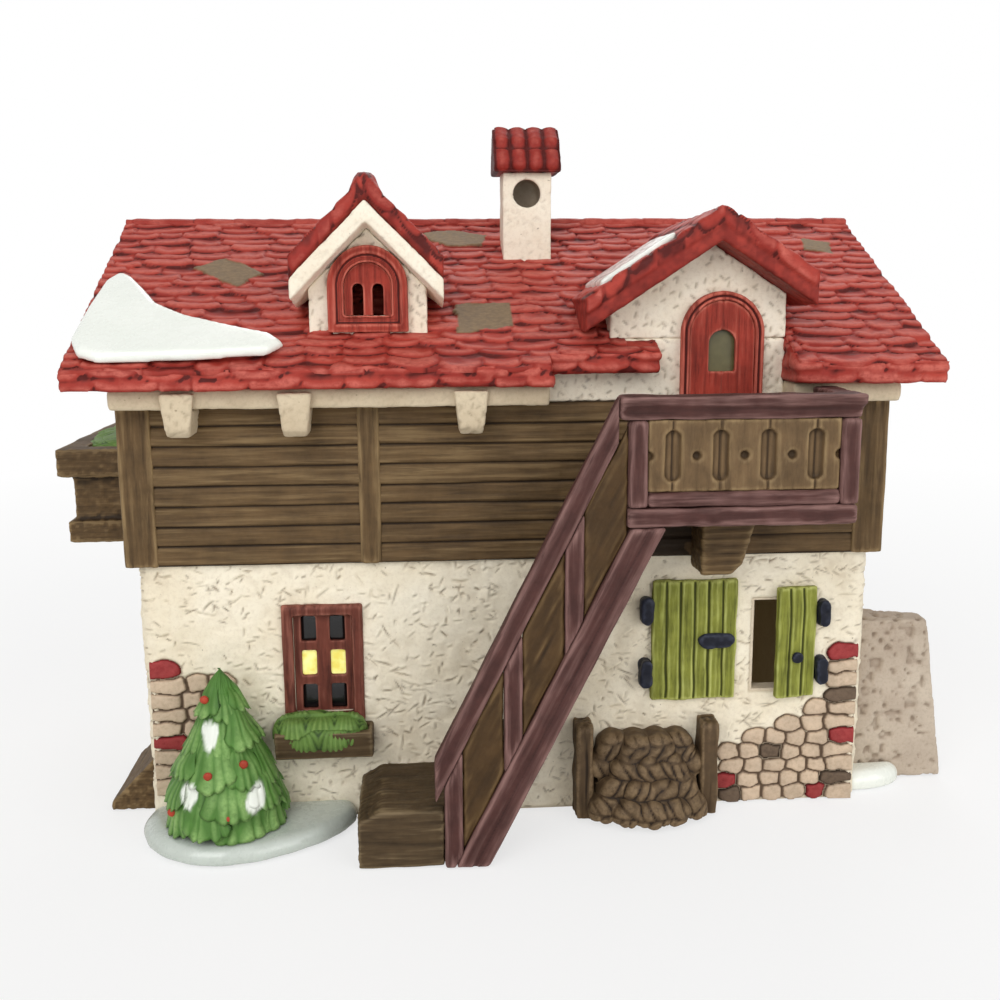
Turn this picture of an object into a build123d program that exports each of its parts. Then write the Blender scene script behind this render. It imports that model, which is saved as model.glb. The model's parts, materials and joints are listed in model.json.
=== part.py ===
"""Lit ceramic village house: a chalet with a timber storey, two dormers, a balcony and an outside stair.

Millimetres. +Z is up and the front faces -Y. The origin is the centre of the floor, on the surface
it stands on.
"""

import os
from math import atan, cos, degrees, hypot, radians, sin, sqrt, tan

from build123d import *

os.makedirs("parts", exist_ok=True)

# Ground floor: a cast shell with a floor let in
house_length = 168.0
house_depth = 110.0
shell_wall = 4.0
corner_radius = 2.5
ground_storey_height = 62.0
floor_thickness = 4.0
overrun = 1.0

# Timber storey: planks a little proud of the stucco
timber_storey_height = 36.0
timber_proud = 1.5
plank_count = 8
groove_width = 0.5
groove_depth = 0.6
post_width = 5.0
post_proud = 1.2
middle_post_share = -0.19

# Eaves
soffit_thickness = 4.4
soffit_overhang = 9.0
corbel_width = 7.5
corbel_foot = 5.0
corbel_drop = 6.0
corbel_reach = 2.0
corbel_lip = 3.6
corbel_chamfer = 1.6
corbel_shares = (-0.427, -0.28, -0.055)

# Main roof
gable_overhang = 11.0
eave_overhang = 12.0
eave_edge = 4.0
roof_pitch = 26.3
roof_thickness = 5.0

# Shingles
course_count = 9
shingle_width = 16.0
shingle_butt = 1.4
shingle_head = 0.5
shingle_notch = 0.7
shingle_joint = 3.4

# Step in the eave beside the door dormer
step_share = 0.0476
step_clearance = 5.9
short_eave_overhang = 7.5

# Window dormer, the left one
window_dormer_share = -0.1863
window_dormer_half_width = 13.0
window_dormer_setback = 1.0
window_dormer_rise = 24.5
window_dormer_pitch = 45.0
window_dormer_overhang = 6.0
window_dormer_eave = 3.6
barge_thickness = 4.6
window_dormer_tile = 4.4
window_frame_width = 17.7
window_frame_height = 18.8
window_frame_bar = 3.6
window_frame_proud = 1.7
window_frame_lift = 0.9
dormer_sash_thickness = 1.2
dormer_slot_width = 2.3
dormer_slot_height = 7.6
dormer_slot_pitch = 4.4

# Door dormer, the right one
door_dormer_share = 0.268
door_dormer_left_run = 23.0
door_dormer_right_run = 17.0
door_dormer_rise = 21.4
door_dormer_pitch = 33.0
door_dormer_overhang = 8.5
door_dormer_left_eave = 6.5
door_dormer_right_eave = 4.4
door_dormer_tile = 6.8
dormer_meet = 4.0
dormer_snow_thickness = 1.8
dormer_snow_shares = (0.12, 0.68)
dormer_snow_depth_shares = (0.05, 0.45)

# Door on the balcony
door_share = 0.2815
door_width = 18.8
door_top_share = 0.5
door_jamb = 2.0
door_proud = 2.0
door_leaf_thickness = 1.2
door_plank_count = 4
door_light_width = 6.0
door_light_height = 9.2
door_light_drop = 8.6
door_light_clearance = 1.5

# Chimney
chimney_share = 0.0417
chimney_width = 12.0
chimney_depth = 11.0
chimney_setback = 15.5
chimney_height = 19.0
chimney_hole_radius = 3.3
chimney_hole_drop = 5.0
chimney_hole_depth = 7.0
cap_overhang = 2.2
cap_wall = 2.6
cap_rise = 9.0
cap_step = 1.0

# Roof snow
snow_thickness = 2.4
snow_bevel = 0.9
snow_length = 45.0
snow_depth = 40.0
snow_inset = 1.0
snow_shares = ((0.0, 0.2), (0.01, 0.55), (0.04, 0.88), (0.1, 1.0), (0.17, 0.93), (0.34, 0.6), (0.5, 0.46),
               (0.68, 0.36), (0.93, 0.25), (1.0, 0.15), (0.93, 0.06), (0.6, 0.02), (0.15, 0.0), (0.05, 0.06))

# Balcony
balcony_share = 0.131
balcony_length = 48.5
balcony_projection = 26.5
rail_drop = 0.7
rail_height = 5.0
rail_cap_height = 2.2
rail_depth = 4.6
rail_step = 0.7
rail_overhang = 2.0
balcony_panel_height = 15.0
balcony_panel_thickness = 2.4
bottom_rail_height = 3.2
bottom_rail_depth = 4.0
deck_thickness = 4.2
balcony_post = 4.0
balcony_slot_width = 3.2
balcony_slot_height = 10.5
balcony_slot_depth = 1.1
balcony_slot_pitch = 10.0
balcony_slot_count = 4
balcony_slot_clip = 0.9
balcony_hole_radius = 1.0
bracket_top = 13.0
bracket_bottom = 9.5
bracket_clip = 2.5
bracket_height = 14.5
bracket_depth = 11.0
bracket_share = 0.2857

# Outside stair
stair_angle = 63.4
handrail_foot = 24.5
handrail_width = 4.4
stair_panel_width = 10.4
stringer_width = 6.6
stringer_groove = 0.8
stair_post_end = 2.0
stair_post_count = 3
stair_rail_depth = 4.0
stair_panel_thickness = 1.8
stair_panel_recess = 1.1
step_count = 10
flight_under_deck = 3.0
foot_block_length = 22.0
foot_block_height = 13.0
foot_block_setback = 1.5
foot_block_slope = 5.0

# Ground floor window
window_share = -0.2595
window_sill_share = 0.3823
window_width = 18.6
window_height_share = 0.4613
casing_width = 2.6
casing_proud = 2.0
casing_chamfer = 0.6
sash_thickness = 1.5
sash_stile = 1.7
sash_middle_stile = 3.2
sash_rail = 0.5
sash_middle_rail = 2.2
lit_pane_thickness = 0.8
window_box_length = 22.3
window_box_depth = 8.0
window_box_height = 6.5
window_box_wall = 1.2
window_box_taper = 1.0
greens_height = 5.5
greens_bumps = 4

# Shutters and the opening behind the right one
shutter_bottom_share = 0.4355
left_shutter_share = 0.256
left_shutter_width = 20.0
left_shutter_height_share = 0.4677
shutter_thickness = 2.0
shutter_boards = 5
hatch_inset = 20.0
hatch_width = 13.0
hatch_height_share = 0.3548
hatch_lift = 1.5
right_shutter_inset = 12.0
right_shutter_width = 9.8
right_shutter_height_share = 0.4355
right_shutter_angle = 10.0
hinge_width = 3.0
hinge_height = 6.8
hinge_clip = 0.9
hinge_shares = (0.24, 0.76)
latch_length = 8.6
latch_width = 3.4
latch_clip = 1.1
latch_thickness = 1.2
latch_inset_share = 0.76
knob_radius = 1.6
knob_thickness = 1.4
knob_share = 0.5
knob_height_share = 0.37

# Fieldstones
stone_width = 4.6
stone_height = 3.0
stone_gap = 0.5
stone_proud = 0.9
stone_shoulder_share = 0.64
right_stone_counts = (6, 6, 6, 6, 5, 3, 2, 1, 1, 1, 1)
left_stone_counts = (0, 0, 1, 1, 2, 2, 3, 3, 3, 3, 1)
red_stones_at = ("right 0 1", "right 1 5", "right 4 0", "right 10 0", "left 5 0", "left 10 0")
brown_stones_at = ("right 0 5", "right 1 0", "right 3 3", "right 7 0")

# Firewood rack
rack_share = 0.0869
rack_clearance = 1.35
rack_depth = 14.5
rack_post_width = 4.0
rack_post_height = 23.0
rack_post_depth = 7.0
rack_post_round = 1.5
log_rows = 4
log_width = 5.1
log_setback = 2.4
log_bulge = 6.0

# Tree and its snow pad
pad_left_overhang = 1.3
pad_front = 24.5
pad_height = 4.6
pad_bevel = 1.8
pad_gap = 1.0
pad_shares = ((0.02, 0), (0.0, 0.3), (0.05, 0.58), (0.14, 0.8), (0.27, 0.95), (0.42, 1.0), (0.58, 0.94),
              (0.73, 0.8), (0.86, 0.62), (0.95, 0.42), (1.0, 0.2), (0.99, 0))
tree_share = 0.4
tree_offset = 9.5
tree_height = 36.0
tree_radius = 13.4
tree_tiers = 4
tree_sides = 5
tree_top_share = 0.16
tree_neck_share = 0.66
tree_overlap_share = 0.2

# Left side: planter balcony and cellar hatch
side_balcony_length = 60.0
side_balcony_projection = 23.0
side_balcony_base = 5.5
side_balcony_panel = 11.0
side_balcony_rail = 7.0
side_balcony_step = 1.5
side_balcony_wall = 3.0
side_balcony_drop = 0.4
side_bracket_width = 5.0
side_bracket_height = 8.0
side_bracket_reach = 10.0
side_greens_height = 4.0
side_greens_bumps = 5
cellar_hatch_length = 30.0
cellar_hatch_front = 7.0
cellar_hatch_reach = 12.0
cellar_hatch_height = 14.0
cellar_hatch_lip = 1.8
cellar_hatch_boards = 5

# Right side: battered yard wall and snow at its foot
yard_setback = 10.0
yard_length = 26.7
yard_batter = 6.0
yard_height = 41.5
yard_root = 15.0
yard_end = 4.0
yard_snow_length = 15.0
yard_snow_depth = 7.5
yard_snow_height = 4.5
yard_snow_bevel = 1.8
yard_snow_shares = ((0, 1.0), (0.3, 0.97), (0.58, 0.84), (0.8, 0.62), (0.95, 0.34), (1.0, 0))

# Clip-in lamp in the back wall
lamp_height = 25.0
lamp_hole_radius = 18.0
running_gap = 0.3
socket_radius = 9.0
socket_length = 30.0
flange_radius = 12.0
flange_thickness = 2.0
clip_thickness = 0.8
clip_width = 9.0
clip_depth = 9.0
clip_plate_thickness = 1.0
clip_plate_margin = 2.5
bulb_cap_radius = 6.0
bulb_cap_length = 22.0
bulb_radius = 9.6
bulb_length = 34.0
bulb_shares = ((0.6, 0.0), (0.88, 0.17), (1.0, 0.38), (0.84, 0.66), (0.46, 0.9), (0.14, 1.0))

# Places worked out from the sizes
front_y = -house_depth / 2
back_y = house_depth / 2
right_x = house_length / 2
room_length = house_length - 2 * shell_wall
room_depth = house_depth - 2 * shell_wall
room_y = room_depth / 2
timber_length = house_length + 2 * timber_proud
timber_depth = house_depth + 2 * timber_proud
timber_front = -timber_depth / 2
timber_left = -timber_length / 2
timber_top = ground_storey_height + timber_storey_height
plank_pitch = timber_storey_height / plank_count

roof_length = house_length + 2 * gable_overhang
half_roof = roof_length / 2
roof_slope = tan(radians(roof_pitch))
roof_cos = cos(radians(roof_pitch))
roof_sin = sin(radians(roof_pitch))
window_dormer_slope = tan(radians(window_dormer_pitch))
door_dormer_slope = tan(radians(door_dormer_pitch))
eave_y = house_depth / 2 + eave_overhang
eave_under = timber_top + soffit_thickness
eave_top = eave_under + eave_edge
ridge_top = eave_top + eave_y * roof_slope
slope_length = eave_y / roof_cos
exposure = slope_length / course_count
soffit_y = house_depth / 2 + soffit_overhang
short_eave_y = front_y - short_eave_overhang

front_plane = Plane.XZ.offset(-front_y)
timber_plane = Plane.XZ.offset(-timber_front)
front_slope = Plane((0, 0, ridge_top), x_dir=(1, 0, 0), z_dir=(0, -roof_sin, roof_cos))
back_slope = Plane((0, 0, ridge_top), x_dir=(-1, 0, 0), z_dir=(0, roof_sin, roof_cos))

window_dormer_x = window_dormer_share * house_length
door_dormer_apex_x = door_dormer_share * house_length
door_x = door_share * house_length
chimney_x = chimney_share * house_length
step_left = step_share * house_length
door_dormer_left = door_dormer_apex_x - door_dormer_left_run
door_dormer_right = door_dormer_apex_x + door_dormer_right_run
step_right = door_x - door_width / 2 - step_clearance
step_width = step_right - step_left
window_dormer_front = front_y + window_dormer_setback

balcony_left = balcony_share * house_length
bracket_x = bracket_share * house_length
rail_top = eave_under - rail_drop
panel_top = rail_top - rail_height
panel_bottom = panel_top - balcony_panel_height
deck_top = panel_bottom - bottom_rail_height
deck_bottom = deck_top - deck_thickness
balcony_right = balcony_left + balcony_length
balcony_front = timber_front - balcony_projection

window_x = window_share * house_length
window_sill = window_sill_share * ground_storey_height
window_height = window_height_share * ground_storey_height
shutter_bottom = shutter_bottom_share * ground_storey_height
left_shutter_x = left_shutter_share * house_length
left_shutter_height = left_shutter_height_share * ground_storey_height
right_shutter_hinge_x = right_x - right_shutter_inset
right_shutter_height = right_shutter_height_share * ground_storey_height
hatch_x = right_x - hatch_inset
hatch_height = hatch_height_share * ground_storey_height
stone_pitch = stone_width + stone_gap

stair_slope = tan(radians(stair_angle))
stair_cos = cos(radians(stair_angle))
stair_head = balcony_left - rail_overhang
stair_plane = Plane.XZ.offset(-balcony_front - stair_rail_depth)


def save(builder, label):
    """Name a finished piece and write it."""
    builder.part.label = label
    export_step(builder.part, f"parts/{label}.step")


def block(x, y, z, mode=Mode.ADD):
    """A box between the limits on each axis, in the part being built."""
    with Locations((sum(x) / 2, sum(y) / 2, sum(z) / 2)):
        Box(x[1] - x[0], y[1] - y[0], z[1] - z[0], mode=mode)


def roof_top(y):
    """Height of the bare roof slope at a distance from the ridge."""
    return ridge_top - abs(y) * roof_slope


def rail_line(x, drop):
    """Height of a line along the stair, a drop square below the top of the handrail."""
    return rail_top + (x - stair_head) * stair_slope - drop / stair_cos


def rail_line_x(z, drop):
    """Where that line reaches a height."""
    return stair_head + (z - rail_top + drop / stair_cos) / stair_slope


# Ground floor shell
with BuildPart() as ground_floor_walls:
    with BuildSketch():
        RectangleRounded(house_length, house_depth, corner_radius)
        Rectangle(room_length, room_depth, mode=Mode.SUBTRACT)
    extrude(amount=ground_storey_height)
    with BuildSketch(front_plane):
        with Locations((window_x, window_sill + window_height / 2)):
            Rectangle(window_width - 2 * casing_width, window_height - 2 * casing_width)
        with Locations((hatch_x, shutter_bottom + hatch_lift + hatch_height / 2)):
            Rectangle(hatch_width, hatch_height)
    extrude(amount=-shell_wall - overrun, mode=Mode.SUBTRACT)
    with BuildSketch(Plane.XZ.offset(-back_y)):
        with Locations((0, lamp_height)):
            Circle(lamp_hole_radius)
    extrude(amount=shell_wall + overrun, mode=Mode.SUBTRACT)
save(ground_floor_walls, "ground_floor_walls")

with BuildPart() as base_plate:
    with BuildSketch():
        Rectangle(room_length, room_depth)
    extrude(amount=floor_thickness)
save(base_plate, "base_plate")


# Fieldstones, laid in rows on the stucco at the two front corners
def stone_places(side, counts):
    """Name and centre of each stone, by side, row and place from the corner."""
    outward = 1 if side == "right" else -1
    for row, count in enumerate(counts):
        shift = (row % 2) * stone_pitch / 4 if count > 1 else 0
        for index in range(count):
            inset = corner_radius + shift + stone_width / 2 + index * stone_pitch
            x = outward * (right_x - inset)
            z = stone_gap + stone_height / 2 + row * (stone_height + stone_gap)
            yield f"{side} {row} {index}", (x, z)


all_stones = dict(stone_places("right", right_stone_counts))
all_stones.update(stone_places("left", left_stone_counts))


def lay_stones(label, keys):
    """One colour of stones, each a flat hexagon proud of the wall."""
    half, shoulder, rise = stone_width / 2, stone_shoulder_share * stone_width / 2, stone_height / 2
    with BuildPart() as stones:
        with BuildSketch(front_plane):
            with Locations(*[all_stones[key] for key in keys]):
                Polygon((-half, 0), (-shoulder, -rise), (shoulder, -rise),
                        (half, 0), (shoulder, rise), (-shoulder, rise))
        extrude(amount=stone_proud)
    save(stones, label)


pale_keys = [key for key in all_stones if key not in red_stones_at and key not in brown_stones_at]
lay_stones("pale_stones", pale_keys)
lay_stones("red_stones", red_stones_at)
lay_stones("brown_stones", brown_stones_at)

# Timber storey
with BuildPart() as timber_storey:
    with BuildSketch(Plane.XY.offset(ground_storey_height)):
        Rectangle(timber_length, timber_depth)
        Rectangle(room_length, room_depth, mode=Mode.SUBTRACT)
    extrude(amount=timber_storey_height)
    for plank in range(1, plank_count):
        with BuildSketch(Plane.XY.offset(ground_storey_height + plank * plank_pitch - groove_width / 2)):
            Rectangle(timber_length + overrun, timber_depth + overrun)
            Rectangle(timber_length - 2 * groove_depth, timber_depth - 2 * groove_depth, mode=Mode.SUBTRACT)
        extrude(amount=groove_width, mode=Mode.SUBTRACT)
save(timber_storey, "timber_storey")

with BuildPart() as timber_posts:
    with BuildSketch(Plane.XY.offset(ground_storey_height)):
        with GridLocations(timber_length - post_width, timber_depth - post_width, 2, 2):
            Rectangle(post_width + 2 * post_proud, post_width + 2 * post_proud)
        for face_y in (timber_front, -timber_front):
            with Locations((middle_post_share * house_length, face_y)):
                Rectangle(post_width, 2 * post_proud)
        Rectangle(timber_length, timber_depth, mode=Mode.SUBTRACT)
    extrude(amount=timber_storey_height)
save(timber_posts, "timber_posts")

# Soffit ring and corbels under the eaves
with BuildPart() as eaves_soffit:
    with BuildSketch(Plane.XY.offset(timber_top)):
        Rectangle(timber_length + 2 * post_proud, 2 * soffit_y)
        Rectangle(room_length, room_depth, mode=Mode.SUBTRACT)
    extrude(amount=soffit_thickness)
    block((step_left, door_dormer_right), (-soffit_y - overrun, -room_y),
          (timber_top - overrun, eave_under + overrun), mode=Mode.SUBTRACT)
save(eaves_soffit, "eaves_soffit")

with BuildPart() as eaves_corbels:
    corbel_front = -soffit_y - corbel_reach
    corbel_bottom = timber_top - corbel_drop
    corbel_lip_top = timber_top + corbel_lip
    for share in corbel_shares:
        with BuildSketch(Plane.YZ.offset(share * house_length - corbel_width / 2)):
            with BuildLine():
                Polyline((timber_front, timber_top), (-soffit_y, timber_top), (-soffit_y, corbel_lip_top),
                         (corbel_front, corbel_lip_top), (corbel_front, corbel_bottom + corbel_chamfer),
                         (corbel_front + corbel_chamfer, corbel_bottom), (timber_front, corbel_bottom),
                         close=True)
            make_face()
        extrude(amount=corbel_width)
    with BuildSketch(Plane.XZ):
        for share in corbel_shares:
            corbel_x = share * house_length
            with BuildLine():
                Polyline((corbel_x - corbel_width / 2, corbel_lip_top),
                         (corbel_x + corbel_width / 2, corbel_lip_top),
                         (corbel_x + corbel_foot / 2, corbel_bottom),
                         (corbel_x - corbel_foot / 2, corbel_bottom), close=True)
            make_face()
    extrude(amount=soffit_y + corbel_reach, mode=Mode.INTERSECT)
    mirror(about=Plane.XZ)
save(eaves_corbels, "eaves_corbels")

# Main roof: two slopes over a hollow attic, closed by planked gable ends
attic_profile = [(-room_y, eave_under), (-room_y, roof_top(room_y) - roof_thickness),
                 (0, ridge_top - roof_thickness), (room_y, roof_top(room_y) - roof_thickness),
                 (room_y, eave_under)]

with BuildPart() as roof_shell:
    with BuildSketch(Plane.YZ):
        with BuildLine():
            Polyline((-eave_y, eave_under), (-eave_y, eave_top), (0, ridge_top), (eave_y, eave_top),
                     (eave_y, eave_under), close=True)
        make_face()
        with BuildLine():
            Polyline(*attic_profile, close=True)
        make_face(mode=Mode.SUBTRACT)
    extrude(amount=half_roof, both=True)
    block((step_left, door_dormer_right), (-eave_y - overrun, -room_y), (timber_top, ridge_top),
          mode=Mode.SUBTRACT)
    for left, right, front in (
        (door_dormer_left, door_dormer_right, timber_front),
        (window_dormer_x - window_dormer_half_width, window_dormer_x + window_dormer_half_width,
         window_dormer_front),
    ):
        block((left + shell_wall, right - shell_wall), (front + shell_wall, front + 4 * shell_wall),
              (timber_top, ridge_top), mode=Mode.SUBTRACT)
save(roof_shell, "roof_shell")

with BuildPart() as gable_ends:
    with BuildSketch(Plane.YZ.offset(-timber_left - shell_wall)):
        with BuildLine():
            Polyline(*attic_profile, close=True)
        make_face()
    extrude(amount=shell_wall)
    for plank in range(1, plank_count):
        groove_z = eave_under + plank * plank_pitch
        block((-timber_left - groove_depth, -timber_left + overrun), (-eave_y, eave_y),
              (groove_z - groove_width / 2, groove_z + groove_width / 2), mode=Mode.SUBTRACT)
    mirror(about=Plane.YZ)
save(gable_ends, "gable_ends")

# Short eave beside the door dormer, at the foot of the step in the roof
with BuildPart() as short_eave:
    with BuildSketch(Plane.YZ.offset(step_left)):
        with BuildLine():
            Polyline((timber_front, roof_top(timber_front)), (short_eave_y, roof_top(short_eave_y)),
                     (short_eave_y, roof_top(short_eave_y) - eave_edge),
                     (timber_front, roof_top(short_eave_y) - eave_edge), close=True)
        make_face()
    extrude(amount=step_width)
save(short_eave, "short_eave")


# Dormers: a gabled shell and a pitched roof, both trimmed on the main slope
class Dormer:
    """Sizes of one dormer, from its apex and the runs of its walls and eaves."""

    def __init__(self, apex_x, runs, eaves, front, overhang, rise, slope, roof_height):
        self.apex_x, self.front, self.slope = apex_x, front, slope
        self.apex_z = roof_top(front) + rise
        self.left, self.right = apex_x - runs[0], apex_x + runs[1]
        self.eave_left, self.eave_right = self.left - eaves[0], self.right + eaves[1]
        self.roof_front = front - overhang
        fall = self.apex_z + roof_height - roof_top(dormer_meet)
        self.fall = max(fall, 0) / (-self.roof_front - dormer_meet)
        self.direction = (0, 1, -self.fall)

    def height(self, x, lift=0):
        """Height of the gable line at x."""
        return self.apex_z + lift - abs(x - self.apex_x) * self.slope

    def reach(self, start):
        """Length of an extrusion from the start to the ridge."""
        return hypot(1, self.fall) * -start

    def drop(self, start):
        """How far the falling ridge has come down behind the front of the roof."""
        return self.fall * (start - self.roof_front)

    def gable(self, inset, start):
        """Outline of the walls, set in by a thickness."""
        lift = -inset * hypot(1, self.slope) - self.drop(start)
        left, right = self.left + inset, self.right - inset
        return [(left, timber_top), (left, self.height(left, lift)), (self.apex_x, self.apex_z + lift),
                (right, self.height(right, lift)), (right, timber_top)]

    def chevron(self, low, high):
        """Outline of a roof layer between two heights over the gable line."""
        ends = (self.eave_left, self.apex_x, self.eave_right)
        return [(x, self.height(x, low)) for x in ends] + [(x, self.height(x, high)) for x in reversed(ends)]


window_dormer = Dormer(window_dormer_x, (window_dormer_half_width, window_dormer_half_width),
                       (window_dormer_eave, window_dormer_eave), window_dormer_front, window_dormer_overhang,
                       window_dormer_rise, window_dormer_slope, barge_thickness + window_dormer_tile)
door_dormer = Dormer(door_dormer_apex_x, (door_dormer_left_run, door_dormer_right_run),
                     (door_dormer_left_eave, door_dormer_right_eave), timber_front, door_dormer_overhang,
                     door_dormer_rise, door_dormer_slope, door_dormer_tile)


def main_roof_below(lift):
    """Points of the space under the front slope, raised by a thickness."""
    rise = lift / roof_cos
    return [(-eave_y, eave_top + rise), (0, ridge_top + rise), (0, 0), (-eave_y, 0)]


def dormer_envelope(dormer):
    """The dormer walls as one block, for the hole they need in the shingles."""
    with BuildPart() as envelope:
        with BuildSketch(Plane.XZ.offset(-dormer.front)):
            with BuildLine():
                Polyline(*dormer.gable(0, dormer.front), close=True)
            make_face()
        extrude(amount=dormer.reach(dormer.front), dir=dormer.direction)
    return envelope.part


def dormer_walls(dormer, opening_x, opening_bottom, opening_spring, opening_width, label):
    """Front wall and cheeks, open below, with an arched opening in the front."""
    with BuildPart() as walls:
        add(dormer_envelope(dormer))
        with BuildSketch(Plane.XZ.offset(-dormer.front - shell_wall)):
            with BuildLine():
                Polyline(*dormer.gable(shell_wall, dormer.front + shell_wall), close=True)
            make_face()
        extrude(amount=dormer.reach(dormer.front), dir=dormer.direction, mode=Mode.SUBTRACT)
        with BuildSketch(Plane.YZ):
            with BuildLine():
                Polyline(*main_roof_below(0), close=True)
            make_face()
        extrude(amount=half_roof, both=True, mode=Mode.SUBTRACT)
        with BuildSketch(Plane.XZ.offset(-dormer.front)):
            with Locations((opening_x, (opening_bottom + opening_spring) / 2)):
                Rectangle(opening_width, opening_spring - opening_bottom)
            with Locations((opening_x, opening_spring)):
                Circle(opening_width / 2)
        extrude(amount=-shell_wall - overrun, mode=Mode.SUBTRACT)
    save(walls, label)


def dormer_roof(dormer, low, high, label):
    """One layer of the dormer roof, from its front edge back to the shingles."""
    with BuildPart() as layer:
        with BuildSketch(Plane.XZ.offset(-dormer.roof_front)):
            with BuildLine():
                Polyline(*dormer.chevron(low, high), close=True)
            make_face()
        extrude(amount=dormer.reach(dormer.roof_front), dir=dormer.direction)
        with BuildSketch(Plane.YZ):
            with BuildLine():
                Polyline(*main_roof_below(shingle_butt), close=True)
            make_face()
        extrude(amount=half_roof, both=True, mode=Mode.SUBTRACT)
    save(layer, label)


# Window dormer with its arched frame and two-light sash
frame_bottom = roof_top(window_dormer_front) + window_frame_lift
frame_spring = frame_bottom + window_frame_height - window_frame_width / 2
dormer_sash_width = window_frame_width - 2 * window_frame_bar
sash_bottom = frame_bottom + window_frame_bar
dormer_walls(window_dormer, window_dormer_x, sash_bottom, frame_spring, dormer_sash_width,
             "window_dormer_walls")
dormer_roof(window_dormer, 0, barge_thickness, "window_dormer_barge")
dormer_roof(window_dormer, barge_thickness, barge_thickness + window_dormer_tile, "window_dormer_roof")

with BuildPart() as window_dormer_frame:
    with BuildSketch(Plane.XZ.offset(-window_dormer_front)):
        with Locations((window_dormer_x, (frame_bottom + frame_spring) / 2)):
            Rectangle(window_frame_width, frame_spring - frame_bottom)
        with Locations((window_dormer_x, frame_spring)):
            Circle(window_frame_width / 2)
        with Locations((window_dormer_x, (sash_bottom + frame_spring) / 2)):
            Rectangle(dormer_sash_width, frame_spring - sash_bottom, mode=Mode.SUBTRACT)
        with Locations((window_dormer_x, frame_spring)):
            Circle(dormer_sash_width / 2, mode=Mode.SUBTRACT)
    extrude(amount=window_frame_proud)
save(window_dormer_frame, "window_dormer_frame")

with BuildPart() as window_dormer_sash:
    with BuildSketch(Plane.XZ.offset(-window_dormer_front)):
        with Locations((window_dormer_x, (sash_bottom + frame_spring) / 2)):
            Rectangle(dormer_sash_width, frame_spring - sash_bottom)
        with Locations((window_dormer_x, frame_spring)):
            Circle(dormer_sash_width / 2)
        with Locations((window_dormer_x, (sash_bottom + frame_spring) / 2)):
            with GridLocations(dormer_slot_pitch, 0, 2, 1):
                SlotOverall(dormer_slot_height, dormer_slot_width, rotation=90, mode=Mode.SUBTRACT)
    extrude(amount=-dormer_sash_thickness)
save(window_dormer_sash, "window_dormer_sash")

# Door dormer: cream wall down to the planks, walls above the slope, door on the balcony
door_top = roof_top(timber_front) + door_top_share * door_dormer_rise
door_spring = door_top - door_width / 2
light_top = door_top - door_light_drop
light_spring = light_top - door_light_width / 2
light_bottom = light_top - door_light_height
wall_light_width = door_light_width + 2 * door_light_clearance
dormer_walls(door_dormer, door_x, light_bottom - door_light_clearance, light_spring, wall_light_width,
             "door_dormer_walls")
dormer_roof(door_dormer, 0, door_dormer_tile, "door_dormer_roof")

with BuildPart() as door_wall:
    with BuildSketch(Plane.YZ.offset(step_left)):
        with BuildLine():
            Polyline((timber_front, timber_top), (-room_y, timber_top), (-room_y, roof_top(room_y)),
                     (timber_front, roof_top(timber_front)), close=True)
        make_face()
    extrude(amount=door_dormer_right - step_left)
    with BuildSketch(timber_plane):
        with Locations((door_x, (light_bottom - door_light_clearance + light_spring) / 2)):
            Rectangle(wall_light_width, light_spring - light_bottom + door_light_clearance)
        with Locations((door_x, light_spring)):
            Circle(wall_light_width / 2)
    extrude(amount=timber_front + room_y - overrun, mode=Mode.SUBTRACT)
save(door_wall, "door_wall")

leaf_width = door_width - 2 * door_jamb
with BuildPart() as door_frame:
    with BuildSketch(timber_plane):
        with Locations((door_x, (deck_top + door_spring) / 2)):
            Rectangle(door_width, door_spring - deck_top)
            Rectangle(leaf_width, door_spring - deck_top, mode=Mode.SUBTRACT)
        with Locations((door_x, door_spring)):
            Circle(door_width / 2)
            Circle(leaf_width / 2, mode=Mode.SUBTRACT)
        with Locations((door_x, (deck_top + door_spring) / 2)):
            Rectangle(leaf_width, door_spring - deck_top, mode=Mode.SUBTRACT)
    extrude(amount=door_proud)
save(door_frame, "door_frame")

with BuildPart() as door_leaf:
    with BuildSketch(timber_plane):
        with Locations((door_x, (deck_top + door_spring) / 2)):
            Rectangle(leaf_width, door_spring - deck_top)
        with Locations((door_x, door_spring)):
            Circle(leaf_width / 2)
        with Locations((door_x, (light_bottom + light_spring) / 2)):
            Rectangle(door_light_width, light_spring - light_bottom, mode=Mode.SUBTRACT)
        with Locations((door_x, light_spring)):
            Circle(door_light_width / 2, mode=Mode.SUBTRACT)
    extrude(amount=door_leaf_thickness)
    leaf_face = timber_front - door_leaf_thickness
    for plank in range(1, door_plank_count):
        groove_x = door_x - leaf_width / 2 + plank * leaf_width / door_plank_count
        block((groove_x - groove_width / 2, groove_x + groove_width / 2),
              (leaf_face - overrun, leaf_face + groove_depth), (deck_top, door_top), mode=Mode.SUBTRACT)
save(door_leaf, "door_leaf")

# Chimney: stack with a smoke hole, under a tiled cap
stack_top = roof_top(chimney_setback) + chimney_height
chimney_x_limits = (chimney_x - chimney_width / 2, chimney_x + chimney_width / 2)
chimney_y_limits = (-chimney_setback - chimney_depth / 2, -chimney_setback + chimney_depth / 2)
with BuildPart() as chimney_stack:
    block(chimney_x_limits, chimney_y_limits, (timber_top, stack_top))
    with BuildSketch(Plane.YZ):
        with BuildLine():
            Polyline(*main_roof_below(0), close=True)
        make_face()
    extrude(amount=half_roof, mode=Mode.SUBTRACT)
    with BuildSketch(Plane.XZ.offset(-chimney_y_limits[0])):
        with Locations((chimney_x, stack_top - chimney_hole_drop)):
            Circle(chimney_hole_radius)
    extrude(amount=-chimney_hole_depth, mode=Mode.SUBTRACT)
save(chimney_stack, "chimney_stack")

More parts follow.
